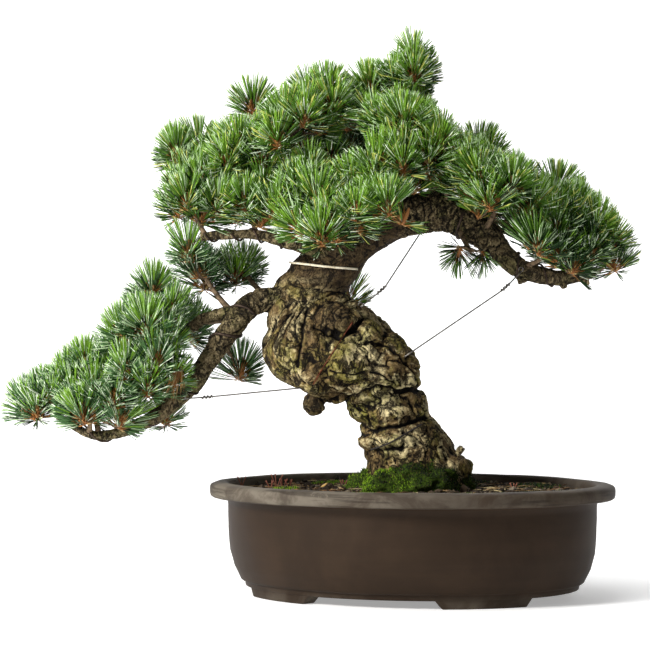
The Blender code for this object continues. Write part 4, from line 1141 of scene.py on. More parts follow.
@dataclass
class Foliage:
    """Stems, twigs, shoots and whole sprays of needles, mass by mass."""

    growth: Growth
    needle: float = 0.0385
    half_width: float = 0.00051
    apart: float = 0.0205
    stray: float = 1.05
    fascicles: int = 55
    per_fascicle: int = 5
    shoot: float = 0.013
    limit: int = 190000
    high_places: tuple = ((0.82, 0.2), (0.7, 0.22), (0.58, 0.24), (0.46, 0.26), (0.34, 0.28), (0.2, 0.3))
    side_places: tuple = ((0.7, 0.42), (0.56, 0.48), (0.42, 0.54))
    low_places: tuple = ((0.6, 0.5), (0.45, 0.65), (0.3, 0.75), (0.12, 0.85))
    drooping: tuple = ("right_hanging",)
    spire: float = 0.54
    rear: float = 0.182
    edges: tuple = ((0.326, 0.32, 1.0, 0.0, 0.0, 0.024), (0.113, 0.5231, 0.929, 0.371, 0.5, 0.009))
    bare: tuple = ((0.088, 0.392), (0.116, 0.39), (0.146, 0.377), (0.175, 0.354), (0.202, 0.332))
    bare_half: float = 0.013
    bare_front: float = -0.014
    fan: tuple = (5.0, 80.0, 0.7)
    coat_steps: tuple = (0.34, 0.74)
    odd_share: float = 0.09
    brown_roots: float = 0.3
    veined: float = 0.45
    rng: np.random.Generator = field(default_factory=lambda: np.random.default_rng(SEED))

    def __post_init__(self) -> None:
        """Make the finishes, the batches and the rods that needles keep off."""
        self.coats = list(Coat)
        self.finishes = [PlainFinish(f"{c.name.lower()}_coat", c.value, 0.46).make() for c in self.coats]
        self.rods = self.growth.rods()
        self.centres = np.array([mass.centre for mass in MASSES])
        self.reaches = np.array([mass.reach for mass in MASSES])
        self.taken = np.full((1, 3), 9.0)
        self.needles = [Batch("needles_1")]
        self.buds = Batch("buds")
        self.twigs = [Batch("twigs_1")]

    def coat(self, coat: Coat) -> int:
        """The material number of a coat."""
        return self.coats.index(coat)

    @staticmethod
    def tone(mass: Mass) -> Tone:
        """The leading colour of a mass, by where it is on the plant; masses at the back and hanging under the right
        bough take the dark tone as painted shade.
        """
        if mass.name.startswith("low_left"):
            return Tone.BLUE
        # The masses at the back and under the right bough are dark as painted shade.
        if mass.name.startswith(("back", "right_hanging", "right_under")):
            return Tone.DEEP
        return Tone.FRESH

    def reached(self, points: Array, scale: float) -> Array:
        """Whether each point lies within some mass's reach, widened by a scale."""
        offset = (points[:, None] - self.centres[None]) / (self.reaches[None] * scale)
        return np.any(np.sum(offset ** 2, axis=2) < 1.0, axis=1)

    def hearts(self, mass: Mass, turn: float) -> list[tuple[Vector, Vector]]:
        """Where a mass's tufts stand and which way they point.

        Args:
            mass: the mass.
            turn: the spiral's turn, the same as its solid's.

        Returns:
            Pairs of a place and a unit direction.
        """
        found = self.tufts_at(mass, turn, 3 * mass.tufts + 2, self.high_places)
        found += self.tufts_at(mass, turn + 0.9, mass.tufts + 1, self.side_places)
        return found or self.tufts_at(mass, turn, mass.tufts + 1, self.low_places)

    def tufts_at(self, mass: Mass, turn: float, count: int, places: tuple) -> list[tuple[Vector, Vector]]:
        """Tufts on a spiral over a mass, each at the first place that has room.

        Args:
            mass: the mass.
            turn: the spiral's turn.
            count: how many rays the spiral has.
            places: pairs of how far out and how far down a heart may stand, as shares of the reach.

        Returns:
            Pairs of a place and a unit direction.
        """
        found = []
        centre = Vector(mass.centre)
        for number in range(count):
            height = 0.92 - 1.25 * (number + 0.5) / count
            angle = turn + number * GOLDEN
            flat = math.sqrt(max(0.0, 1.0 - height * height))
            ray = Vector((flat * math.cos(angle), flat * math.sin(angle), height))
            axis = (ray * 0.42 + Vector((0.0, 0.0, 0.9))).normalized()
            for pull, drop in places:
                offset = Vector([ray[k] * mass.reach[k] * pull for k in range(3)])
                offset.z -= drop * mass.reach[2]
                if mass.name in self.drooping:
                    offset.z, axis.z = abs(offset.z), -abs(axis.z) * 0.6
                heart = centre + offset
                if self.fits(np.array(heart), np.array(axis)):
                    found.append((heart, axis))
                    self.taken = np.vstack([self.taken, heart])
                    break
        return found

    def fits(self, heart: Array, axis: Array) -> bool:
        """Whether a tuft has room: within reach, off the limbs and away from others."""
        if not self.reached((heart + axis * self.needle * 0.95)[None], self.stray)[0]:
            return False
        if clearance(heart[None], self.rods)[0] < 0.006 or self.hides(heart[None])[0]:
            return False
        if self.past_edge(heart[None], 1.0)[0]:
            return False
        return bool(np.min(np.linalg.norm(self.taken - heart, axis=1)) > self.apart)

    def past_edge(self, points: Array, inset: float) -> Array:
        """Whether each point lies past an edge of the outline.

        Args:
            points: the points.
            inset: how much of each edge's own margin the edge is moved in by, from 0 to 1.

        Returns:
            True where a point is past an edge.
        """
        past = np.zeros(len(points), bool)
        for x, z, outward, upward, floor, margin in self.edges:
            out = (points[:, 0] - x) * outward + (points[:, 2] - z) * upward > -margin * inset
            past |= out & (points[:, 2] > floor)
        return past

    def hides(self, spots: Array) -> Array:
        """Whether each place lies before the stretch of the right bough that shows bare."""
        return (spots[:, 1] < self.bare_front) & (gap_to_line(spots[:, (0, 2)], self.bare) < self.bare_half)

    def add_tube(self, rows: Array, sides: int) -> None:
        """Add a twig to the batch that has room."""
        corners, faces = tube(rows[:, :3], rows[:, 3], sides)
        if self.twigs[-1].triangles() > self.limit:
            self.twigs.append(Batch(f"twigs_{len(self.twigs) + 1}"))
        self.twigs[-1].add(corners, faces, np.zeros(len(faces), int))

    def bent_path(self, start: Array, end: Array, radii: tuple, rise: float, steps: int = 6) -> Array:
        """A crooked path between two places.

        Args:
            start: its first place.
            end: its last place.
            radii: its first and last radius.
            rise: how far its middle stands up or hangs, as a share of its length.
            steps: how many spans it has.

        Returns:
            Rows (x, y, z, radius).
        """
        t = np.linspace(0.0, 1.0, steps + 1)[:, None]
        span = float(np.linalg.norm(end - start))
        path = start + (end - start) * t
        path[:, 2:3] += 4.0 * t * (1.0 - t) * rise * span
        sway = self.rng.normal(0.0, 0.035 * span, (steps + 1, 3)) * np.sin(math.pi * t)
        radius = radii[0] + (radii[1] - radii[0]) * t
        radius = radius * (1.0 + self.rng.uniform(-0.12, 0.18, (steps + 1, 1)))
        return np.hstack([path + sway, radius])

    def spray(self, mass: Mass, heart: Vector, axis: Vector, tone: Tone) -> None:
        """One tuft: a bud, its sheaths and the needles that fan from it.

        Args:
            mass: the mass that it belongs to.
            heart: where its bud stands.
            axis: which way the bud points.
            tone: the mass's leading colour.
        """
        rng = self.rng
        sparse = mass.name in self.drooping or heart.z > self.spire
        count = self.fascicles // 2 if sparse else self.fascicles
        order = (np.arange(count) + 0.5) / count
        inner, span, bend = self.fan
        polar = np.radians(inner + span * order ** bend) + rng.normal(0.0, 0.07, count)
        polar += np.where(rng.random(count) < 0.1, 0.35, 0.0) * order
        around = np.arange(count) * GOLDEN + rng.normal(0.0, 0.25, count)
        way = np.array(axis)
        first, second = side_frames(way[None])
        spread = turned(around, first, second)
        rays = turned(polar, way, spread)
        roots = np.array(heart) + way * (self.shoot * (0.45 - order))[:, None] + spread * 0.0012
        ahead = roots + rays * 0.016
        shown = (clearance(ahead, self.rods) > 0.0) & ~self.hides(ahead)
        self.sheaths(roots[shown], rays[shown])
        self.bud(np.array(heart), way)
        rays = np.repeat(rays, self.per_fascicle, axis=0)
        base = np.repeat(roots, self.per_fascicle, axis=0) + rays * 0.0014
        order = np.repeat(order, self.per_fascicle)
        rays = unit(rays + rng.normal(0.0, 0.085, rays.shape))
        length = self.needle * (1.0 - 0.1 * order) * np.repeat(rng.uniform(0.9, 1.03, count), self.per_fascicle)
        length *= rng.uniform(0.95, 1.02, len(rays)) * rng.choice((0.86, 1.0, 1.06))
        length = self.fit_reach(base, rays, length)
        tip = base + rays * length[:, None]
        lift = (way * 0.7 + np.array((0.0, 0.0, 0.3)))[None] * (0.05 * length)[:, None]
        tip = tip + lift * rng.uniform(0.0, 1.6, (len(tip), 1))
        middle = base + (tip - base) * 0.84 - lift * 0.25
        keep = length > 0.4 * self.needle
        for share in (0.35, 0.7, 1.0):
            spots = base + (tip - base) * share
            keep &= clearance(spots, self.rods) > 0.0002
            keep &= ~self.hides(spots)
        mood = rng.normal(0.0, 0.13)
        self.add_needles(base[keep], middle[keep], tip[keep], np.clip(order[keep] + mood, 0.0, 1.2), tone)

    def fit_reach(self, base: Array, rays: Array, length: Array) -> Array:
        """Needles' lengths, cut a little where they would leave the crown's reach or pass its edges."""
        for _ in range(4):
            tips = base + rays * length[:, None]
            out = ~self.reached(tips, self.stray) | self.past_edge(tips, 0.0)
            length = np.where(out, length * 0.92, length)
        room = (self.rear - base[:, 1]) / np.maximum(rays[:, 1], 0.001)
        return np.minimum(length, room)

    def add_needles(self, base: Array, middle: Array, tip: Array, order: Array, tone: Tone) -> None:
        """Add needles with their colours to the batch that has room."""
        count = len(base)
        if not count:
            return
        rng = self.rng
        width = self.half_width * rng.uniform(0.85, 1.15, count)
        points, faces = spikes(base, middle, tip, width, rng.uniform(0.0, math.tau, count))
        # Needles low and far out in a tuft draw the darker coats: partly their age, partly painted shade between
        # tufts.
        draw = rng.random(count) * 0.42 + order * 0.66
        odd = rng.random(count) < self.odd_share
        # Each needle's root takes a darker coat than its length, as painted shade in the heart of the tuft.
        root = self.outer_coats(draw + 0.4, odd, tone)
        outer = self.outer_coats(draw - 0.04, odd, tone)
        frosty = rng.random(count) + 0.25 * order > (0.72 if tone is Tone.BLUE else 0.98)
        inner = np.where(frosty, self.coat(Coat.FROST), self.coat(Coat.BLOOM))
        root = np.where(rng.random(count) < self.brown_roots, self.coat(Coat.SHEATH), root)
        vein = np.where(rng.random(count) < self.veined, inner, outer)
        kinds = np.stack([root, root, root, outer, vein, outer, outer, inner, outer], axis=1).ravel()
        if self.needles[-1].triangles() + 12 * count > self.limit:
            self.needles.append(Batch(f"needles_{len(self.needles) + 1}"))
        self.needles[-1].add(points, faces, kinds)

    def outer_coats(self, draw: Array, odd: Array, tone: Tone) -> Array:
        """Each needle's leading colour: young ones fresh, old ones deep, and the low outer needles of a tuft dark
        partly as painted shade.
        """
        palettes = {
            Tone.FRESH: (Coat.FRESH, Coat.MID, Coat.DEEP, Coat.YELLOW),
            Tone.DEEP: (Coat.MID, Coat.DEEP, Coat.DEEP, Coat.FRESH),
            Tone.BLUE: (Coat.FRESH, Coat.BLUE, Coat.DEEP, Coat.BLOOM),
        }
        palette = np.array([self.coat(c) for c in palettes[tone]])
        return palette[np.where(odd, 3, np.digitize(draw, self.coat_steps))]

    def sheaths(self, roots: Array, rays: Array) -> None:
        """The short brown sheath at the foot of each bunch of needles."""
        count = len(roots)
        reach = 0.01 * self.rng.uniform(0.45, 1.2, count)[:, None]
        points, faces = spikes(roots, roots + rays * reach * 0.45, roots + rays * reach,
                               np.full(count, 0.00085), np.zeros(count))
        kinds = np.where(self.rng.random(count) < 0.6, self.coat(Coat.SHEATH), self.coat(Coat.STRAW))
        self.buds.add(points, faces, np.repeat(kinds, SPIKE_FACES))

    def bud(self, heart: Array, way: Array) -> None:
        """The pointed bud in the heart of a tuft."""
        marks = ((-0.5, 0.0016), (0.0, 0.0021), (0.42, 0.0023), (0.7, 0.0015), (0.92, 0.0005))
        path = np.array([heart + way * self.shoot * share for share, _ in marks])
        corners, faces = tube(path, np.array([radius for _, radius in marks]), 6)
        self.buds.add(corners, faces, np.full(len(faces), self.coat(Coat.BUD)))

    def grow(self, index: int, mass: Mass) -> None:
        """Grow one mass: stem, forked twigs, shoots and tufts."""
        source = random.Random(SEED * 1000 + index)
        turn = source.uniform(0.0, math.tau)
        stem = self.growth.stem(mass, 6)
        stem[:, 3] *= 1.15
        self.add_tube(stem, 7)
        fork = stem[-1][:3]
        mains = []
        for number, (heart, axis) in enumerate(self.hearts(mass, turn)):
            foot = np.array(heart - axis * self.shoot * 0.5)
            start, thick = fork, self.growth.twig_radius * 1.1
            if number % 2 and mains:
                near = min(mains, key=lambda rows: float(np.linalg.norm(rows[-1][:3] - foot)))
                start, thick = near[len(near) // 2][:3], self.growth.twig_radius * 0.9
            rows = self.bent_path(start, foot, (thick, 0.001), 0.05)
            if not number % 2:
                mains.append(rows)
            self.add_tube(rows, 5)
            self.spray(mass, heart, axis, self.tone(mass))

    def withered(self) -> None:
        """The bunch of dead needles that hangs before the low left bough."""
        count = 34
        root = np.array((-0.1455, -0.06, 0.238)) + self.rng.normal(0.0, 0.0012, (count, 3))
        rays = np.array((-0.22, -0.1, -0.95)) + self.rng.normal(0.0, 0.2, (count, 3))
        tips = root + rays * self.rng.uniform(0.026, 0.037, count)[:, None]
        middle = (root + tips) / 2.0 + self.rng.normal(0.0, 0.0012, (count, 3))
        points, faces = spikes(root, middle, tips, np.full(count, 0.00055), np.zeros(count))
        browns = [self.coat(c) for c in (Coat.DRY, Coat.SHEATH, Coat.STRAW)]
        kinds = self.rng.choice(browns, count, p=(0.5, 0.3, 0.2))
        self.buds.add(points, faces, np.repeat(kinds, SPIKE_FACES))

    def finish(self) -> None:
        """Link the batches as pieces."""
        twig_finish = Paint("twig_brown", roughness=0.9)
        spot = twig_finish.place()
        mottle = twig_finish.noise(spot, 240.0, 4.0, 0.65)
        twig_finish.colour(twig_finish.mix(mottle.over(0.32, 0.68), (0.035, 0.024, 0.015), (0.215, 0.15, 0.09)))
        nodes = tuple(mass.name for mass in MASSES)
        for batch in self.needles:
            add_piece(batch.name, batch.mesh(), self.finishes, nodes)
            nodes = ()
        add_piece("buds", self.buds.mesh(), self.finishes)
        for batch in self.twigs:
            add_piece(batch.name, batch.mesh(), [twig_finish.material])

    def build(self) -> None:
        """Grow every mass and link the pieces."""
        for index, mass in enumerate(MASSES):
            self.grow(index, mass)
        self.withered()
        self.finish()


# Pot, soil and moss

class Shapes:
    """Helpers that model closed forms with mesh operators."""

    @staticmethod
    def mesh(name: str, bm: BMesh) -> Mesh:
        """Turn a bmesh into a smooth mesh with outward faces."""
        bmesh.ops.recalc_face_normals(bm, faces=bm.faces)
        mesh = bpy.data.meshes.new(name)
        bm.to_mesh(mesh)
        bm.free()
        mesh.polygons.foreach_set("use_smooth", np.full(len(mesh.polygons), True))
        return mesh

    @staticmethod
    def piece(name: str, bm: BMesh, finish: Finish, slot: str, nodes: tuple = ()) -> Object:
        """Link a bmesh as a piece in one finish."""
        return add_piece(name, Shapes.mesh(name, bm), [finish.make()], nodes)

    @staticmethod
    def spin(bm: BMesh, geom: list, angle: float, steps: int, merge: bool = False) -> None:
        """Spin geometry about the upright axis."""
        nought = (0.0, 0.0, 0.0)
        bmesh.ops.spin(bm, geom=geom, axis=(0.0, 0.0, 1.0), cent=nought, dvec=nought, angle=angle, steps=steps,
                       use_merge=merge)

    @staticmethod
    def rod(bm: BMesh, rows: Array, sides: int, flat: float = 1.0) -> None:
        """Bridge rings square to a path into a closed round bar.

        Args:
            bm: the mesh that takes it.
            rows: path rows (x, y, z, radius).
            sides: how many sides.
            flat: the second thickness as a share of the first.
        """
        steps = np.gradient(rows[:, :3], axis=0)
        side = Vector(steps[0]).orthogonal().normalized()
        last = None
        for i, row in enumerate(rows):
            along = Vector(steps[i]).normalized()
            side = (side - along * side.dot(along)).normalized()
            turn = Matrix((side, along.cross(side), along)).transposed().to_4x4()
            place = Matrix.Translation(Vector(row[:3])) @ turn @ Matrix.Diagonal((1.0, flat, 1.0, 1.0))
            capped = i in (0, len(rows) - 1)
            made = bmesh.ops.create_circle(bm, cap_ends=capped, radius=float(row[3]), segments=sides, matrix=place)
            ring = list(dict.fromkeys(e for v in made["verts"] for e in v.link_edges))
            if last is not None:
                bmesh.ops.bridge_loops(bm, edges=last + ring)
            last = ring


@dataclass
class Pot:
    """The oval pot: a rolled lip, a belly that tucks in, a ledge and four feet."""

    x: float = 0.088
    turn: float = math.radians(-19.3)
    sides: int = 220
    rim_a: float = 0.21
    rim_b: float = 0.178
    rim_top: float = 0.1135
    base_inset: float = 0.0366
    foot_height: float = 0.0085
    foot_width: float = 0.02
    foot_angles: tuple = (30.5, 68.5)
    foot_slope: float = 3.2
    finish: StonewareFinish = field(default_factory=StonewareFinish)

    def place(self) -> Matrix:
        """The pot's turn and place."""
        return Matrix.Translation((self.x, 0.0, 0.0)) @ Matrix.Rotation(self.turn, 4, "Z")

    def profile(self) -> list[tuple[float, float]]:
        """Rows (inset, height) from the base up, over the lip and down inside."""
        base, lip = self.base_inset, 0.0995
        rows = [(base + 0.03, 0.008), (base + 0.003, 0.008), (base + 0.0004, 0.0086), (base, 0.0098)]
        rows += [(base - 0.0004, 0.0128), (base - 0.0012, 0.014), (base - 0.004, 0.0146), (base - 0.0052, 0.0156)]
        belly = [(base - 0.0062, 0.0178), (base - 0.0118, 0.029), (base - 0.016, 0.045), (0.0192, 0.062),
                 (0.0186, 0.08), (0.0186, lip - 0.004)]
        for i in range(len(belly) - 1):
            rows += [tuple(np.array(belly[i]) * (1 - t) + np.array(belly[i + 1]) * t) for t in (0.0, 0.34, 0.67)]
        rows += [(0.0182, lip - 0.0028), (0.016, lip - 0.0006), (0.006, lip - 0.0002), (0.0026, lip + 0.0004)]
        rows += [(0.0009, lip + 0.0016), (0.0002, lip + 0.004), (0.0, 0.108), (0.0004, 0.1108), (0.0018, 0.1126)]
        rows += [(0.0042, 0.1136), (0.009, 0.1143), (0.015, 0.1146), (0.0176, 0.1141), (0.019, 0.1128)]
        rows += [(0.0196, 0.109), (0.0205, 0.098), (0.0285, 0.086), (0.03, 0.056), (0.044, 0.027)]
        rows += [(0.053, 0.02)]
        return rows

    def bend(self, bm: BMesh) -> None:
        """Turn round rings of the rim's long radius into the pot's ovals."""
        for vert in bm.verts:
            reach = math.hypot(vert.co.x, vert.co.y)
            if reach > 0.02:
                vert.co.y *= (reach - self.rim_a + self.rim_b) / reach
        bm.transform(self.place())

    def body(self, bm: BMesh) -> None:
        """Spin the profile and close the floor and the underside."""
        verts = [bm.verts.new((self.rim_a - inset, 0.0, height)) for inset, height in self.profile()]
        edges = [bm.edges.new(pair) for pair in zip(verts, verts[1:])]
        Shapes.spin(bm, verts + edges, math.tau, self.sides, merge=True)
        bmesh.ops.holes_fill(bm, edges=[e for e in bm.edges if e.is_boundary], sides=0)
        wide = [f for f in bm.faces if len(f.verts) > 4]
        for face in wide:
            bmesh.ops.inset_individual(bm, faces=[face], thickness=0.03)

    def feet(self, bm: BMesh) -> None:
        """Four arcs of a ring under the base, their ends sloping inward."""
        low, high = (math.radians(a) for a in self.foot_angles)
        reach = self.rim_a - self.base_inset
        for quarter in range(4):
            start = quarter // 2 * math.pi + (low if quarter % 2 == 0 else math.pi - high)
            middle = start + (high - low) / 2.0
            corners = [(reach - 0.0004, self.foot_height + 0.0022), (reach - 0.0012, 0.0),
                       (reach - self.foot_width + 0.002, 0.0), (reach - self.foot_width, self.foot_height + 0.0022)]
            verts = [bm.verts.new((r * math.cos(start), r * math.sin(start), h)) for r, h in corners]
            face = bm.faces.new(verts)
            Shapes.spin(bm, [face], high - low, 26)
            island = self.linked(verts[0])
            self.slope_ends(island, middle, (high - low) / 2.0)
            edges = dict.fromkeys(e for v in island for e in v.link_edges)
            sharp = [e for e in edges if e.calc_face_angle(0.0) > 0.6]
            bmesh.ops.bevel(bm, geom=sharp, offset=0.0011, offset_type="OFFSET", affect="EDGES", segments=3,
                            profile=0.5, material=-1)

    @staticmethod
    def linked(seed: BMVert) -> list[BMVert]:
        """Every corner joined to the given one by edges."""
        found, line = {seed}, [seed]
        for vert in line:
            for edge in vert.link_edges:
                other = edge.other_vert(vert)
                if other not in found:
                    found.add(other)
                    line.append(other)
        return line

    def slope_ends(self, verts: list, middle: float, half: float) -> None:
        """Draw the ends of a foot in toward its middle as it goes down."""
        top = self.foot_height + 0.0022
        for vert in verts:
            angle = math.atan2(vert.co.y, vert.co.x)
            away = (angle - middle + math.pi) % math.tau - math.pi
            drop = (top - vert.co.z) / top
            angle = middle + away * (1.0 - math.radians(self.foot_slope) / half * drop)
            reach = math.hypot(vert.co.x, vert.co.y)
            vert.co.x, vert.co.y = reach * math.cos(angle), reach * math.sin(angle)

    def build(self) -> Object:
        """Model and dress the pot."""
        bm = bmesh.new()
        self.body(bm)
        self.feet(bm)
        self.bend(bm)
        self.settle(bm)
        return Shapes.piece("pot_shell", bm, self.finish, "pot_stoneware", ("pot",))

    @staticmethod
    def settle(bm: BMesh) -> None:
        """Give the clay the slight unevenness of a hand's work."""
        for vert in bm.verts:
            if vert.co.z > 0.012:
                push = noise.fractal(vert.co * 16.0, 1.0, 2.0, 3) * 0.0006
                vert.co += vert.normal * push if vert.normal.length > 0.0 else Vector()


@dataclass
class Ground:
    """The soil's surface with its grit, fallen needles, sprouts and moss."""

    pot: Pot
    top: float = 0.108
    edge_drop: float = 0.004
    wave: float = 0.0032
    rings: tuple = (0.0289, 0.0489, 0.0839, 0.1239)
    inset: float = 0.0207
    cells: int = 190
    pebbles: int = 2600
    straws: int = 330
    moss_x: float = 0.087
    moss_y: float = -0.018
    moss_a: float = 0.063
    moss_b: float = 0.057
    moss_height: float = 0.032
    tufts: int = 12000
    seedlings: tuple = ((-0.05, 0.01, 0.017), (-0.0435, 0.014, 0.012), (-0.056, 0.004, 0.011),
                        (-0.087, 0.05, 0.012), (-0.037, 0.02, 0.011), (0.019, 0.03, 0.01),
                        (0.15, 0.02, 0.009), (0.192, -0.02, 0.01), (0.06, 0.09, 0.011))
    rng: np.random.Generator = field(default_factory=lambda: np.random.default_rng(7))

    def oval(self) -> tuple[float, float]:
        """The soil's long and short radius."""
        return self.pot.rim_a - self.inset, self.pot.rim_b - self.inset

    def level(self, across: float, deep: float) -> float:
        """The soil's height at a place given in shares of its oval, in the same hollows as its solid."""
        angle = math.atan2(deep, across)
        long, short = self.oval()
        wide = math.hypot(math.cos(angle) * long, math.sin(angle) * short)
        inset = self.inset + (1.0 - math.hypot(across, deep)) * wide
        dips = [self.edge_drop] + [self.wave * self.hollow(angle, ring) for ring in self.rings[1:3]] + [0.0]
        rough = 0.0007 * noise.fractal(Vector((across * 5.0, deep * 5.0, 0.3)), 1.0, 2.0, 4)
        return self.top - float(np.interp(inset, self.rings, dips)) + rough - 0.0003

    @staticmethod
    def hollow(angle: float, inset: float) -> float:
        """How far the soil sinks at an angle on one of its rings, from 0 to 1."""
        return 0.5 + 0.3 * math.sin(4.0 * angle + 40.0 * inset) + 0.2 * math.sin(7.0 * angle)

    def spread(self, across: float, deep: float, height: float) -> Vector:
        """A place on the soil, from shares of its oval."""
        long, short = self.oval()
        return self.pot.place() @ Vector((across * long, deep * short, height))

    def soil(self) -> Object:
        """A rough oval of soil that fills the pot."""
        bm = bmesh.new()
        bmesh.ops.create_grid(bm, x_segments=self.cells, y_segments=self.cells, size=1.0)
        for vert in bm.verts:
            a, b = vert.co.x, vert.co.y
            across, deep = a * math.sqrt(1.0 - b * b / 2.0), b * math.sqrt(1.0 - a * a / 2.0)
            height = self.level(across, deep)
            height += 0.0011 * noise.fractal(Vector((across * 36.0, deep * 32.0, 1.7)), 0.8, 2.0, 3)
            vert.co = self.spread(across, deep, height)
        skirt = [e for e in bm.edges if e.is_boundary]
        made = bmesh.ops.extrude_edge_only(bm, edges=skirt)
        low = [g for g in made["geom"] if isinstance(g, BMVert)]
        middle = self.spread(0.0, 0.0, 0.0)
        for vert in low:
            x, y = vert.co.x, vert.co.y
            vert.co = Vector((middle.x + (x - middle.x) * 0.93, (y - middle.y) * 0.93 + middle.y, 0.08))
        rim = [g for g in made["geom"] if isinstance(g, BMEdge) and g.is_boundary]
        bmesh.ops.contextual_create(bm, geom=rim)
        return Shapes.piece("soil_bed", bm, SoilFinish(), "soil_grit", ("soil",))

    def scatter(self, count: int) -> list[tuple[float, float]]:
        """Random places on the soil, in shares of its oval."""
        reach = np.sqrt(self.rng.random(count)) * 0.985
        angle = self.rng.random(count) * math.tau
        return [(r * math.cos(a), r * math.sin(a)) for r, a in zip(reach, angle)]

    def grit(self) -> Object:
        """Loose crumbs of soil and small stones."""
        seed_bm = bmesh.new()
        bmesh.ops.create_icosphere(seed_bm, subdivisions=1, radius=1.0)
        seed_bm.verts.index_update()
        seed = np.array([v.co for v in seed_bm.verts])
        faces = np.array([[v.index for v in f.verts] + [-1] for f in seed_bm.faces])
        seed_bm.free()
        batch = Batch("grit")
        for across, deep in self.scatter(self.pebbles):
            size = float(self.rng.gamma(2.6, 0.00055)) + 0.0006
            shape = seed * self.rng.uniform(0.65, 1.15, 3) * size
            shape = shape * (1.0 + self.rng.normal(0.0, 0.12, (len(seed), 1)))
            spin = np.array(Matrix.Rotation(self.rng.random() * 6.28, 3, "Z"))
            place = np.array(self.spread(across, deep, self.level(across, deep) + size * 0.25))
            pick = self.rng.choice(4, p=(0.44, 0.28, 0.18, 0.1))
            batch.add(shape @ spin.T + place, faces, np.full(len(faces), pick))
        tints = ((0.026, 0.018, 0.012), (0.058, 0.04, 0.024), (0.11, 0.08, 0.048), (0.185, 0.15, 0.105))
        return add_piece("grit", batch.mesh(smooth=False), tinted("grit_tint", tints, 0.9))

    def litter(self) -> Object:
        """Fallen needles that lie crossed on the soil."""
        places = self.scatter(self.straws)
        base = np.array([self.spread(a, d, self.level(a, d) + 0.0016) for a, d in places])
        angle = self.rng.random(len(base)) * math.tau
        length = self.rng.uniform(0.012, 0.032, len(base))
        reach = np.column_stack([np.cos(angle), np.sin(angle), np.zeros(len(base))]) * length[:, None]
        rise = self.rng.uniform(-0.0005, 0.002, len(base))
        tip = base + reach + np.column_stack([np.zeros((len(base), 2)), rise])
        sag = np.column_stack([self.rng.normal(0, 0.0012, (len(base), 2)), np.full(len(base), 0.0008)])
        middle = (base + tip) / 2.0 + sag
        self.keep_in(tip)
        points, faces = spikes(base, middle, tip, np.full(len(base), 0.00055), angle)
        kinds = np.repeat(self.rng.choice(3, len(base), p=(0.45, 0.35, 0.2)), SPIKE_FACES)
        batch = Batch("fallen_needles")
        batch.add(points, faces, kinds)
        tints = ((0.3, 0.19, 0.085), (0.17, 0.085, 0.038), (0.42, 0.33, 0.17))
        return add_piece("fallen_needles", batch.mesh(), tinted("straw_tint", tints, 0.7))

    def sprouts(self) -> Object:
        """Thin reddish seedlings and a yellowed leaf that stand in the soil."""
        bm = bmesh.new()
        for x, y, tall in self.seedlings:
            foot = Vector((x, y, self.top - 0.005))
            for k in range(3):
                lean = Vector((math.cos(2.1 * k + 90.0 * x), math.sin(2.1 * k + 90.0 * x), 0.0)) * tall * 0.42
                marks = [(foot, 0.0006), (foot + lean * 0.35 + Vector((0.0, 0.0, tall * 0.6)), 0.00045),
                         (foot + lean + Vector((0.0, 0.0, tall + 0.002)), 0.0007)]
                Shapes.rod(bm, curve_through([(*spot, radius) for spot, radius in marks], 6), 5)
        Shapes.piece("seedlings", bm, PlainFinish("seedling_red", (0.3, 0.11, 0.07), 0.6), "needle_green")
        bm = bmesh.new()
        turn = Matrix.Rotation(0.5, 4, "Z") @ Matrix.Rotation(-0.6, 4, "Y")
        place = Matrix.Translation((-0.002, 0.022, self.top + 0.001))
        shape = place @ turn @ Matrix.Diagonal((0.0065, 0.003, 0.0006, 1.0))
        bmesh.ops.create_icosphere(bm, subdivisions=2, radius=1.0, matrix=shape)
        leaf = PlainFinish("yellow_leaf", (0.56, 0.34, 0.09), 0.6)
        return Shapes.piece("fallen_leaf", bm, leaf, "needle_green")

    def keep_in(self, tips: Array) -> None:
        """Draw tips that would pass through the pot's wall back over the soil."""
        back = self.pot.place().inverted()
        a, b = self.oval()
        for row in range(len(tips)):
            flat = back @ Vector(tips[row])
            reach = math.hypot(flat.x / a, flat.y / b)
            if reach > 0.98:
                flat.x, flat.y = flat.x * 0.98 / reach, flat.y * 0.98 / reach
                tips[row] = np.array(self.pot.place() @ flat)

    def cushion(self, bm: BMesh, centre: Vector, radii: tuple, seed: float, cuts: int,
                slump: float = 0.0) -> None:
        """One rounded cushion of moss with a lumpy skin.

        Args:
            bm: the mesh that takes it.
            centre: the middle of its underside.
            radii: its two spreads and its height.
            seed: a turn of its lobes.
            cuts: how finely it is divided.
            slump: how much lower it lies at its left.
        """
        made = bmesh.ops.create_icosphere(bm, subdivisions=cuts, radius=1.0)
        for vert in made["verts"]:
            angle = math.atan2(vert.co.y, vert.co.x)
            lobe = 1.0 + 0.07 * math.sin(3.0 * angle + 0.8 + seed) + 0.05 * math.sin(5.0 * angle + seed)
            rise = max(vert.co.z, -0.12) * (1.0 - slump * max(0.0, -vert.co.x) ** 1.2)
            spot = Vector((vert.co.x * radii[0], vert.co.y * radii[1], rise * radii[2]))
            rough = 1.0 + 0.16 * noise.fractal(spot * 55.0 + Vector((seed, 0.0, 0.0)), 0.8, 2.0, 4)
            vert.co = centre + Vector((spot.x * lobe * rough, spot.y * lobe * rough, spot.z * rough))

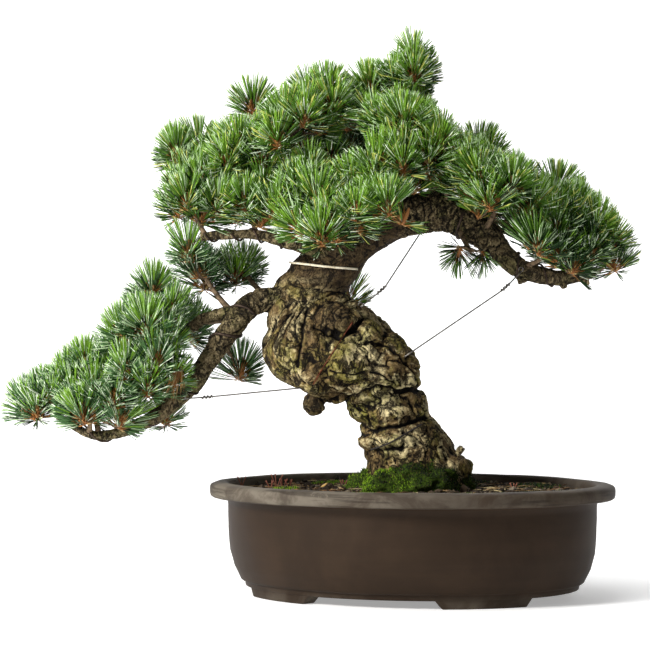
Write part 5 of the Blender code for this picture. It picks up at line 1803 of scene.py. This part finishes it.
    def patches(self) -> list[tuple[Vector, tuple, float, int]]:
        """The cushions: the mound at the trunk's foot, then thin patches."""
        rows = [(Vector((self.moss_x, self.moss_y, self.top - 0.001)),
                 (self.moss_a, self.moss_b, self.moss_height), 0.0, 6)]
        thin = ((0.62, -0.5, 0.03, 0.0045), (0.74, -0.22, 0.026, 0.004), (0.48, -0.66, 0.022, 0.004),
                (0.84, 0.04, 0.02, 0.0035), (0.28, -0.74, 0.02, 0.0036), (0.6, 0.4, 0.03, 0.0045),
                (-0.2, 0.62, 0.032, 0.0045), (-0.52, 0.3, 0.028, 0.004), (0.15, 0.7, 0.03, 0.0045),
                (-0.1, -0.62, 0.018, 0.0034), (-0.62, -0.34, 0.016, 0.003))
        for k, (across, deep, reach, height) in enumerate(thin):
            spot = self.spread(across, deep, self.level(across, deep) - 0.001)
            rows.append((spot, (reach, reach * 0.72, height), 1.3 * k + 0.7, 4))
        return rows

    def moss(self) -> None:
        """The cushions of moss and the tiny leaves that stand on them."""
        bm = bmesh.new()
        for centre, radii, seed, cuts in self.patches():
            self.cushion(bm, centre, radii, seed, cuts, 0.45 if seed == 0.0 else 0.0)
        cushions = Shapes.piece("moss_cushions", bm, MossFinish(), "moss_green", ("moss",))
        self.leaves(cushions.data)

    def leaves(self, mesh: Mesh) -> None:
        """Tiny pointed leaves over the moss, brighter on the left as painted light.

        Args:
            mesh: the cushions' mesh.
        """
        area = np.array([p.area for p in mesh.polygons])
        rise = np.array([p.normal.z for p in mesh.polygons])
        weight = area * np.clip(rise + 0.3, 0.0, 1.0)
        pick = self.rng.choice(len(area), self.tufts, p=weight / weight.sum())
        centre = np.array([mesh.polygons[i].center for i in pick]) + self.rng.normal(0.0, 0.0004, (self.tufts, 3))
        normal = np.array([mesh.polygons[i].normal for i in pick])
        way = unit(normal + self.rng.normal(0.0, 0.45, normal.shape) + np.array((0.0, 0.0, 0.35)))
        length = self.rng.uniform(0.0014, 0.0036, self.tufts)[:, None]
        points, faces = spikes(centre - way * 0.0008, centre + way * length * 0.5, centre + way * length,
                               self.rng.uniform(0.00028, 0.0005, self.tufts), self.rng.random(self.tufts) * 6.28)
        tints = ((0.009, 0.016, 0.004), (0.05, 0.1, 0.006), (0.205, 0.36, 0.013), (0.095, 0.07, 0.022))
        # Leaves toward the left of the mound draw brighter greens as painted light, over random noise.
        bright = np.array([noise.noise(Vector(c) * 45.0) for c in centre]) + (0.072 - centre[:, 0]) * 14.0
        draw = self.rng.random(self.tufts) + np.clip(bright, -0.45, 0.45)
        kinds = np.repeat(np.digitize(draw, (0.42, 0.86)), SPIKE_FACES)
        kinds = np.where(np.repeat(self.rng.random(self.tufts) < 0.08, SPIKE_FACES), 3, kinds)
        batch = Batch("moss_leaves")
        batch.add(points, faces, kinds)
        add_piece("moss_leaves", batch.mesh(), tinted("moss_tint", tints, 0.7))

    def build(self) -> None:
        """Lay soil, grit, litter and moss."""
        self.soil()
        self.grit()
        self.litter()
        self.sprouts()
        self.moss()


# Wires and ties

@dataclass
class Wires:
    """Guy wires with twisted ends, training-wire coils and the ties on the trunk."""

    growth: Growth
    guy_radius: float = 0.00075
    coil_stand: float = 0.0004
    eye: float = 0.0022

    def path(self, marks: list, steps: int) -> Array:
        """A smooth path of a guy's thickness through some places."""
        return curve_through([(*mark, self.guy_radius) for mark in marks], steps)

    def twist(self, start: Vector, end: Vector, turns: float, reach: float) -> Array:
        """A wire's end wound about the wire between two places."""
        along = (end - start).normalized()
        side = along.orthogonal().normalized()
        other = along.cross(side)
        rows = []
        steps = int(turns * 12)
        for i in range(steps + 1):
            angle = math.tau * turns * i / steps
            spot = start.lerp(end, i / steps) + (side * math.cos(angle) + other * math.sin(angle)) * reach
            rows.append((*spot, self.guy_radius))
        return np.array(rows)

    def guys(self) -> Object:
        """The three guy wires, each doubled and twisted near its upper end."""
        bm = bmesh.new()
        runs = (
            ((0.08, -0.056, 0.244), (0.182, -0.034, 0.3125), (0.199, -0.026, 0.33)),
            ((0.101, -0.024, 0.3755), (0.06, -0.034, 0.313), (0.036, -0.04, 0.294)),
            ((-0.022, -0.044, 0.2125), (-0.116, -0.04, 0.2032), (-0.143, -0.04, 0.2012)),
        )
        for start, hook, end in runs:
            a, b, c = (Vector(p) for p in (start, hook, end))
            Shapes.rod(bm, self.path([a, a.lerp(b, 0.5), b], 14), 8)
            Shapes.rod(bm, self.path([b, b.lerp(c, 0.5), c], 8), 8)
            Shapes.rod(bm, self.twist(b.lerp(a, 0.03), b.lerp(c, 0.3), 3.0, self.guy_radius * 1.7), 6)
            turns = np.linspace(0, 5.2, 12)
            loop = [c + Vector((self.eye * math.sin(t), 0.0, self.eye * (1.0 - math.cos(t)))) for t in turns]
            Shapes.rod(bm, self.path(loop, 24), 6)
        steel = WireFinish("guy_steel_finish", (0.2, 0.185, 0.165), (0.06, 0.05, 0.04), 0.42)
        nodes = ("guy_wire_long", "guy_wire_short", "guy_wire_low")
        return Shapes.piece("guy_wires", bm, steel, "guy_steel", nodes)

    def coil(self, limb: str, low: float, high: float, turns: float, wire: float) -> Array:
        """A wire wound along a limb.

        Args:
            limb: the limb's name.
            low: where it starts, as a share of the limb.
            high: where it ends.
            turns: how often it goes round.
            wire: the wire's radius.

        Returns:
            Path rows.
        """
        rows = self.growth.curves[limb]
        steps = int(turns * 20)
        out = []
        side = None
        for i in range(steps + 1):
            place = (low + (high - low) * i / steps) * (len(rows) - 1)
            k = min(int(place), len(rows) - 2)
            point = rows[k] + (rows[k + 1] - rows[k]) * (place - k)
            along = Vector(rows[k + 1][:3] - rows[k][:3]).normalized()
            side = along.orthogonal() if side is None else side - along * side.dot(along)
            side.normalize()
            angle = math.tau * turns * i / steps
            reach = point[3] + wire * 0.7 + self.coil_stand
            around = side * math.cos(angle) + along.cross(side) * math.sin(angle)
            out.append((*(Vector(point[:3]) + around * reach), wire))
        return np.array(out)

    def coils(self) -> Object:
        """The dark training wires wound round the boughs."""
        bm = bmesh.new()
        rows = (("upper_left_bough", 0.25, 0.97, 4.2, 0.0011), ("lower_left_bough", 0.4, 0.78, 1.6, 0.0014),
                ("lower_left_bend", 0.1, 0.9, 3.4, 0.0011), ("right_bough", 0.5, 0.8, 1.2, 0.0013),
                ("right_bough_end", 0.3, 0.95, 3.2, 0.0011), ("right_upper_branch", 0.3, 0.95, 3.2, 0.0009),
                ("leader", 0.3, 0.85, 2.0, 0.001), ("back_bough", 0.3, 0.9, 2.4, 0.001),
                ("right_back_bough", 0.35, 0.9, 2.0, 0.001), ("left_crown_bough", 0.35, 0.95, 3.0, 0.001))
        for limb, low, high, turns, wire in rows:
            Shapes.rod(bm, self.coil(limb, low, high, turns, wire), 8)
        finish = WireFinish("coil_wire_finish", (0.085, 0.06, 0.045), (0.03, 0.024, 0.02), 0.5)
        return Shapes.piece("training_wires", bm, finish, "guy_steel")

    def on_trunk(self, bark: list, marks: tuple, radius: float, steps: int) -> Array:
        """A path laid on the trunk's bark where marks on its face would meet it.

        Args:
            bark: the pieces of the trunk's bark.
            marks: places (x, z) seen from the front.
            radius: the wire's radius.
            steps: how many spans it has.

        Returns:
            Path rows.
        """
        graph = bpy.context.evaluated_depsgraph_get()
        trees = [BVHTree.FromObject(piece, graph) for piece in bark]
        flat = curve_through([(x, 0.0, z, radius) for x, z in marks], steps)
        for row in flat:
            hits = [tree.ray_cast(Vector((row[0], -0.3, row[2])), -FRONT)[0] for tree in trees]
            row[1] = min([hit.y for hit in hits if hit is not None] or [0.0])
        near = np.pad(flat[:, 1], 2, mode="edge")
        near = np.min([near[k:k + len(flat)] for k in range(5)], axis=0)
        near = np.convolve(np.pad(near, 1, mode="edge"), (0.25, 0.5, 0.25), "valid")
        flat[:, 1] = near - radius
        return flat

    def ties(self, bark: list) -> None:
        """The copper wire, the wire round the foot and the pale raffia tie."""
        rows = (
            ("copper_wire", "guy_steel", ((-0.012, 0.216), (-0.002, 0.233), (0.01, 0.252), (0.028, 0.279)),
             0.0005, 40, 6, 1.0, WireFinish("copper_wire_finish", (0.19, 0.055, 0.03), (0.08, 0.028, 0.018), 0.45)),
            ("foot_wire", "guy_steel", ((0.046, 0.149), (0.06, 0.1545), (0.078, 0.164), (0.098, 0.1755)),
             0.0009, 36, 6, 1.0, WireFinish("foot_wire_finish", (0.04, 0.034, 0.03), (0.016, 0.014, 0.012), 0.6, 0.0)),
            ("raffia_tie", "bough_bark",
             ((-0.037, 0.34), (-0.028, 0.3385), (0.0, 0.335), (0.018, 0.3335), (0.033, 0.3325)),
             0.0013, 40, 8, 0.6, WireFinish("raffia_finish", (0.78, 0.72, 0.56), (0.52, 0.44, 0.3), 0.8, 0.0)),
        )
        for name, slot, marks, radius, steps, sides, flat, finish in rows:
            bm = bmesh.new()
            Shapes.rod(bm, self.on_trunk(bark, marks, radius, steps), sides, flat)
            Shapes.piece(name, bm, finish, slot)

    def build(self, bark: list) -> None:
        """Model and dress every wire and tie."""
        self.guys()
        self.coils()
        self.ties(bark)


# Studio

@dataclass
class Studio:
    """A white sweep, soft light from the front left and the camera."""

    camera_y: float = -2.55
    camera_z: float = 0.2757
    lens: float = 137.7
    key_power: float = 96.0
    world_strength: float = 0.06
    floor_glow: float = 0.33
    wall_glow: float = 0.88

    def sweep(self) -> None:
        """A pale floor that curves up behind."""
        bm = bmesh.new()
        rows = [(-6.0, 0.0), (3.2, 0.0)]
        rows += [(3.2 + 1.4 * math.sin(a), 1.4 - 1.4 * math.cos(a)) for a in np.linspace(0.15, math.pi / 2.0, 12)]
        rows += [(4.6, 7.0)]
        verts = [bm.verts.new((-7.0, y, z)) for y, z in rows]
        edges = [bm.edges.new(pair) for pair in zip(verts, verts[1:])]
        made = bmesh.ops.extrude_edge_only(bm, edges=edges)
        moved = [g for g in made["geom"] if isinstance(g, BMVert)]
        bmesh.ops.translate(bm, vec=(14.0, 0.0, 0.0), verts=moved)
        mesh = Shapes.mesh("backdrop_floor", bm)
        for name, glow in (("backdrop_floor_white", self.floor_glow), ("backdrop_wall_white", self.wall_glow)):
            white = PlainFinish(name, (0.93, 0.93, 0.93), 0.9).make()
            shader = white.node_tree.nodes["Principled BSDF"]
            shader.inputs["Emission Color"].default_value = (1.0, 1.0, 1.0, 1.0)
            shader.inputs["Emission Strength"].default_value = glow
            mesh.materials.append(white)
        for face in mesh.polygons:
            face.material_index = int(face.center.y > 1.7)
        link("backdrop_floor", mesh)

    def light(self, name: str, place: tuple, size: float, power: float, tint: tuple) -> None:
        """A square soft light that looks at the plant."""
        lamp = bpy.data.lights.new(name, "AREA")
        lamp.shape = "SQUARE"
        lamp.size = size
        lamp.energy = power
        lamp.color = tint
        holder = link(name, lamp)
        holder.location = place
        holder.rotation_euler = (Vector((0.0, 0.0, 0.28)) - Vector(place)).to_track_quat("-Z", "Y").to_euler()

    def build(self) -> None:
        """Set up floor, light, world and camera."""
        scene = bpy.context.scene
        self.sweep()
        self.light("key_light", (-1.9, -1.3, 1.25), 0.75, self.key_power, (1.0, 0.985, 0.96))
        self.light("top_light", (-0.4, -0.2, 3.0), 1.5, self.key_power * 0.75, (1.0, 1.0, 1.0))
        self.light("fill_light", (1.6, -2.4, 1.2), 1.6, self.key_power * 0.02, (0.96, 0.98, 1.0))
        world = bpy.data.worlds.new("studio_world")
        world.use_nodes = True
        shade = world.node_tree.nodes["Background"]
        shade.inputs["Color"].default_value = (1.0, 1.0, 1.0, 1.0)
        shade.inputs["Strength"].default_value = self.world_strength
        scene.world = world
        scene.view_settings.view_transform = "Standard"
        camera = bpy.data.cameras.new("camera")
        camera.lens = self.lens
        camera.sensor_width = 36.0
        camera.clip_end = 30.0
        holder = link("camera", camera)
        holder.location = (0.0, self.camera_y, self.camera_z)
        holder.rotation_euler = (math.radians(90.0), 0.0, 0.0)
        scene.camera = holder


def main() -> None:
    """Build every sub-assembly in order and note the sizes."""
    logging.basicConfig(level=logging.INFO, format="%(message)s")
    noise.seed_set(SEED)
    Studio().build()
    pot = Pot()
    pot.build()
    Ground(pot).build()
    growth = Growth()
    trunk_finish = BarkFinish(
        "trunk_bark_finish", fissure=(0.004, 0.0025, 0.0013), plate=(0.074, 0.046, 0.02),
        tan=(0.29, 0.195, 0.08), pale=(0.72, 0.605, 0.33), lichen=(0.255, 0.25, 0.042),
        lichen_share=0.56, young=(0.05, 0.033, 0.018),
    )
    bough_finish = BarkFinish(
        "bough_bark_finish", fissure=(0.008, 0.006, 0.0032), plate=(0.052, 0.038, 0.019),
        tan=(0.158, 0.118, 0.06), pale=(0.33, 0.258, 0.14), lichen=(0.14, 0.14, 0.04),
        lichen_share=0.55, plates=170.0,
    )
    trunk = Bark(
        growth, "trunk_skin", ("trunk",), LUMPS, voxel=0.0011, plate=0.02, depth=0.0036, sides=48,
        finish=trunk_finish, slot="trunk_bark", foot=0.103, seam=0.2088, stretch=0.36, swell=0.0026,
        creases=CREASES, dents=TRUNK_DENTS, stubs=TRUNK_STUBS, shades=TRUNK_SHADES, lights=TRUNK_LIGHTS,
        ages=TRUNK_AGES,
    )
    bark = trunk.build()
    boughs = Bark(
        growth, "bough_skin", tuple(limb.name for limb in BOUGHS), (), voxel=0.00108, plate=0.0075,
        depth=0.0017, sides=28, finish=bough_finish, slot="bough_bark", swells=60.0, swell=0.001,
        stubs=BOUGH_STUBS,
    )
    boughs.build()
    Wires(growth).build(bark)
    Foliage(growth).build()


if __name__ == "__main__":
    main()
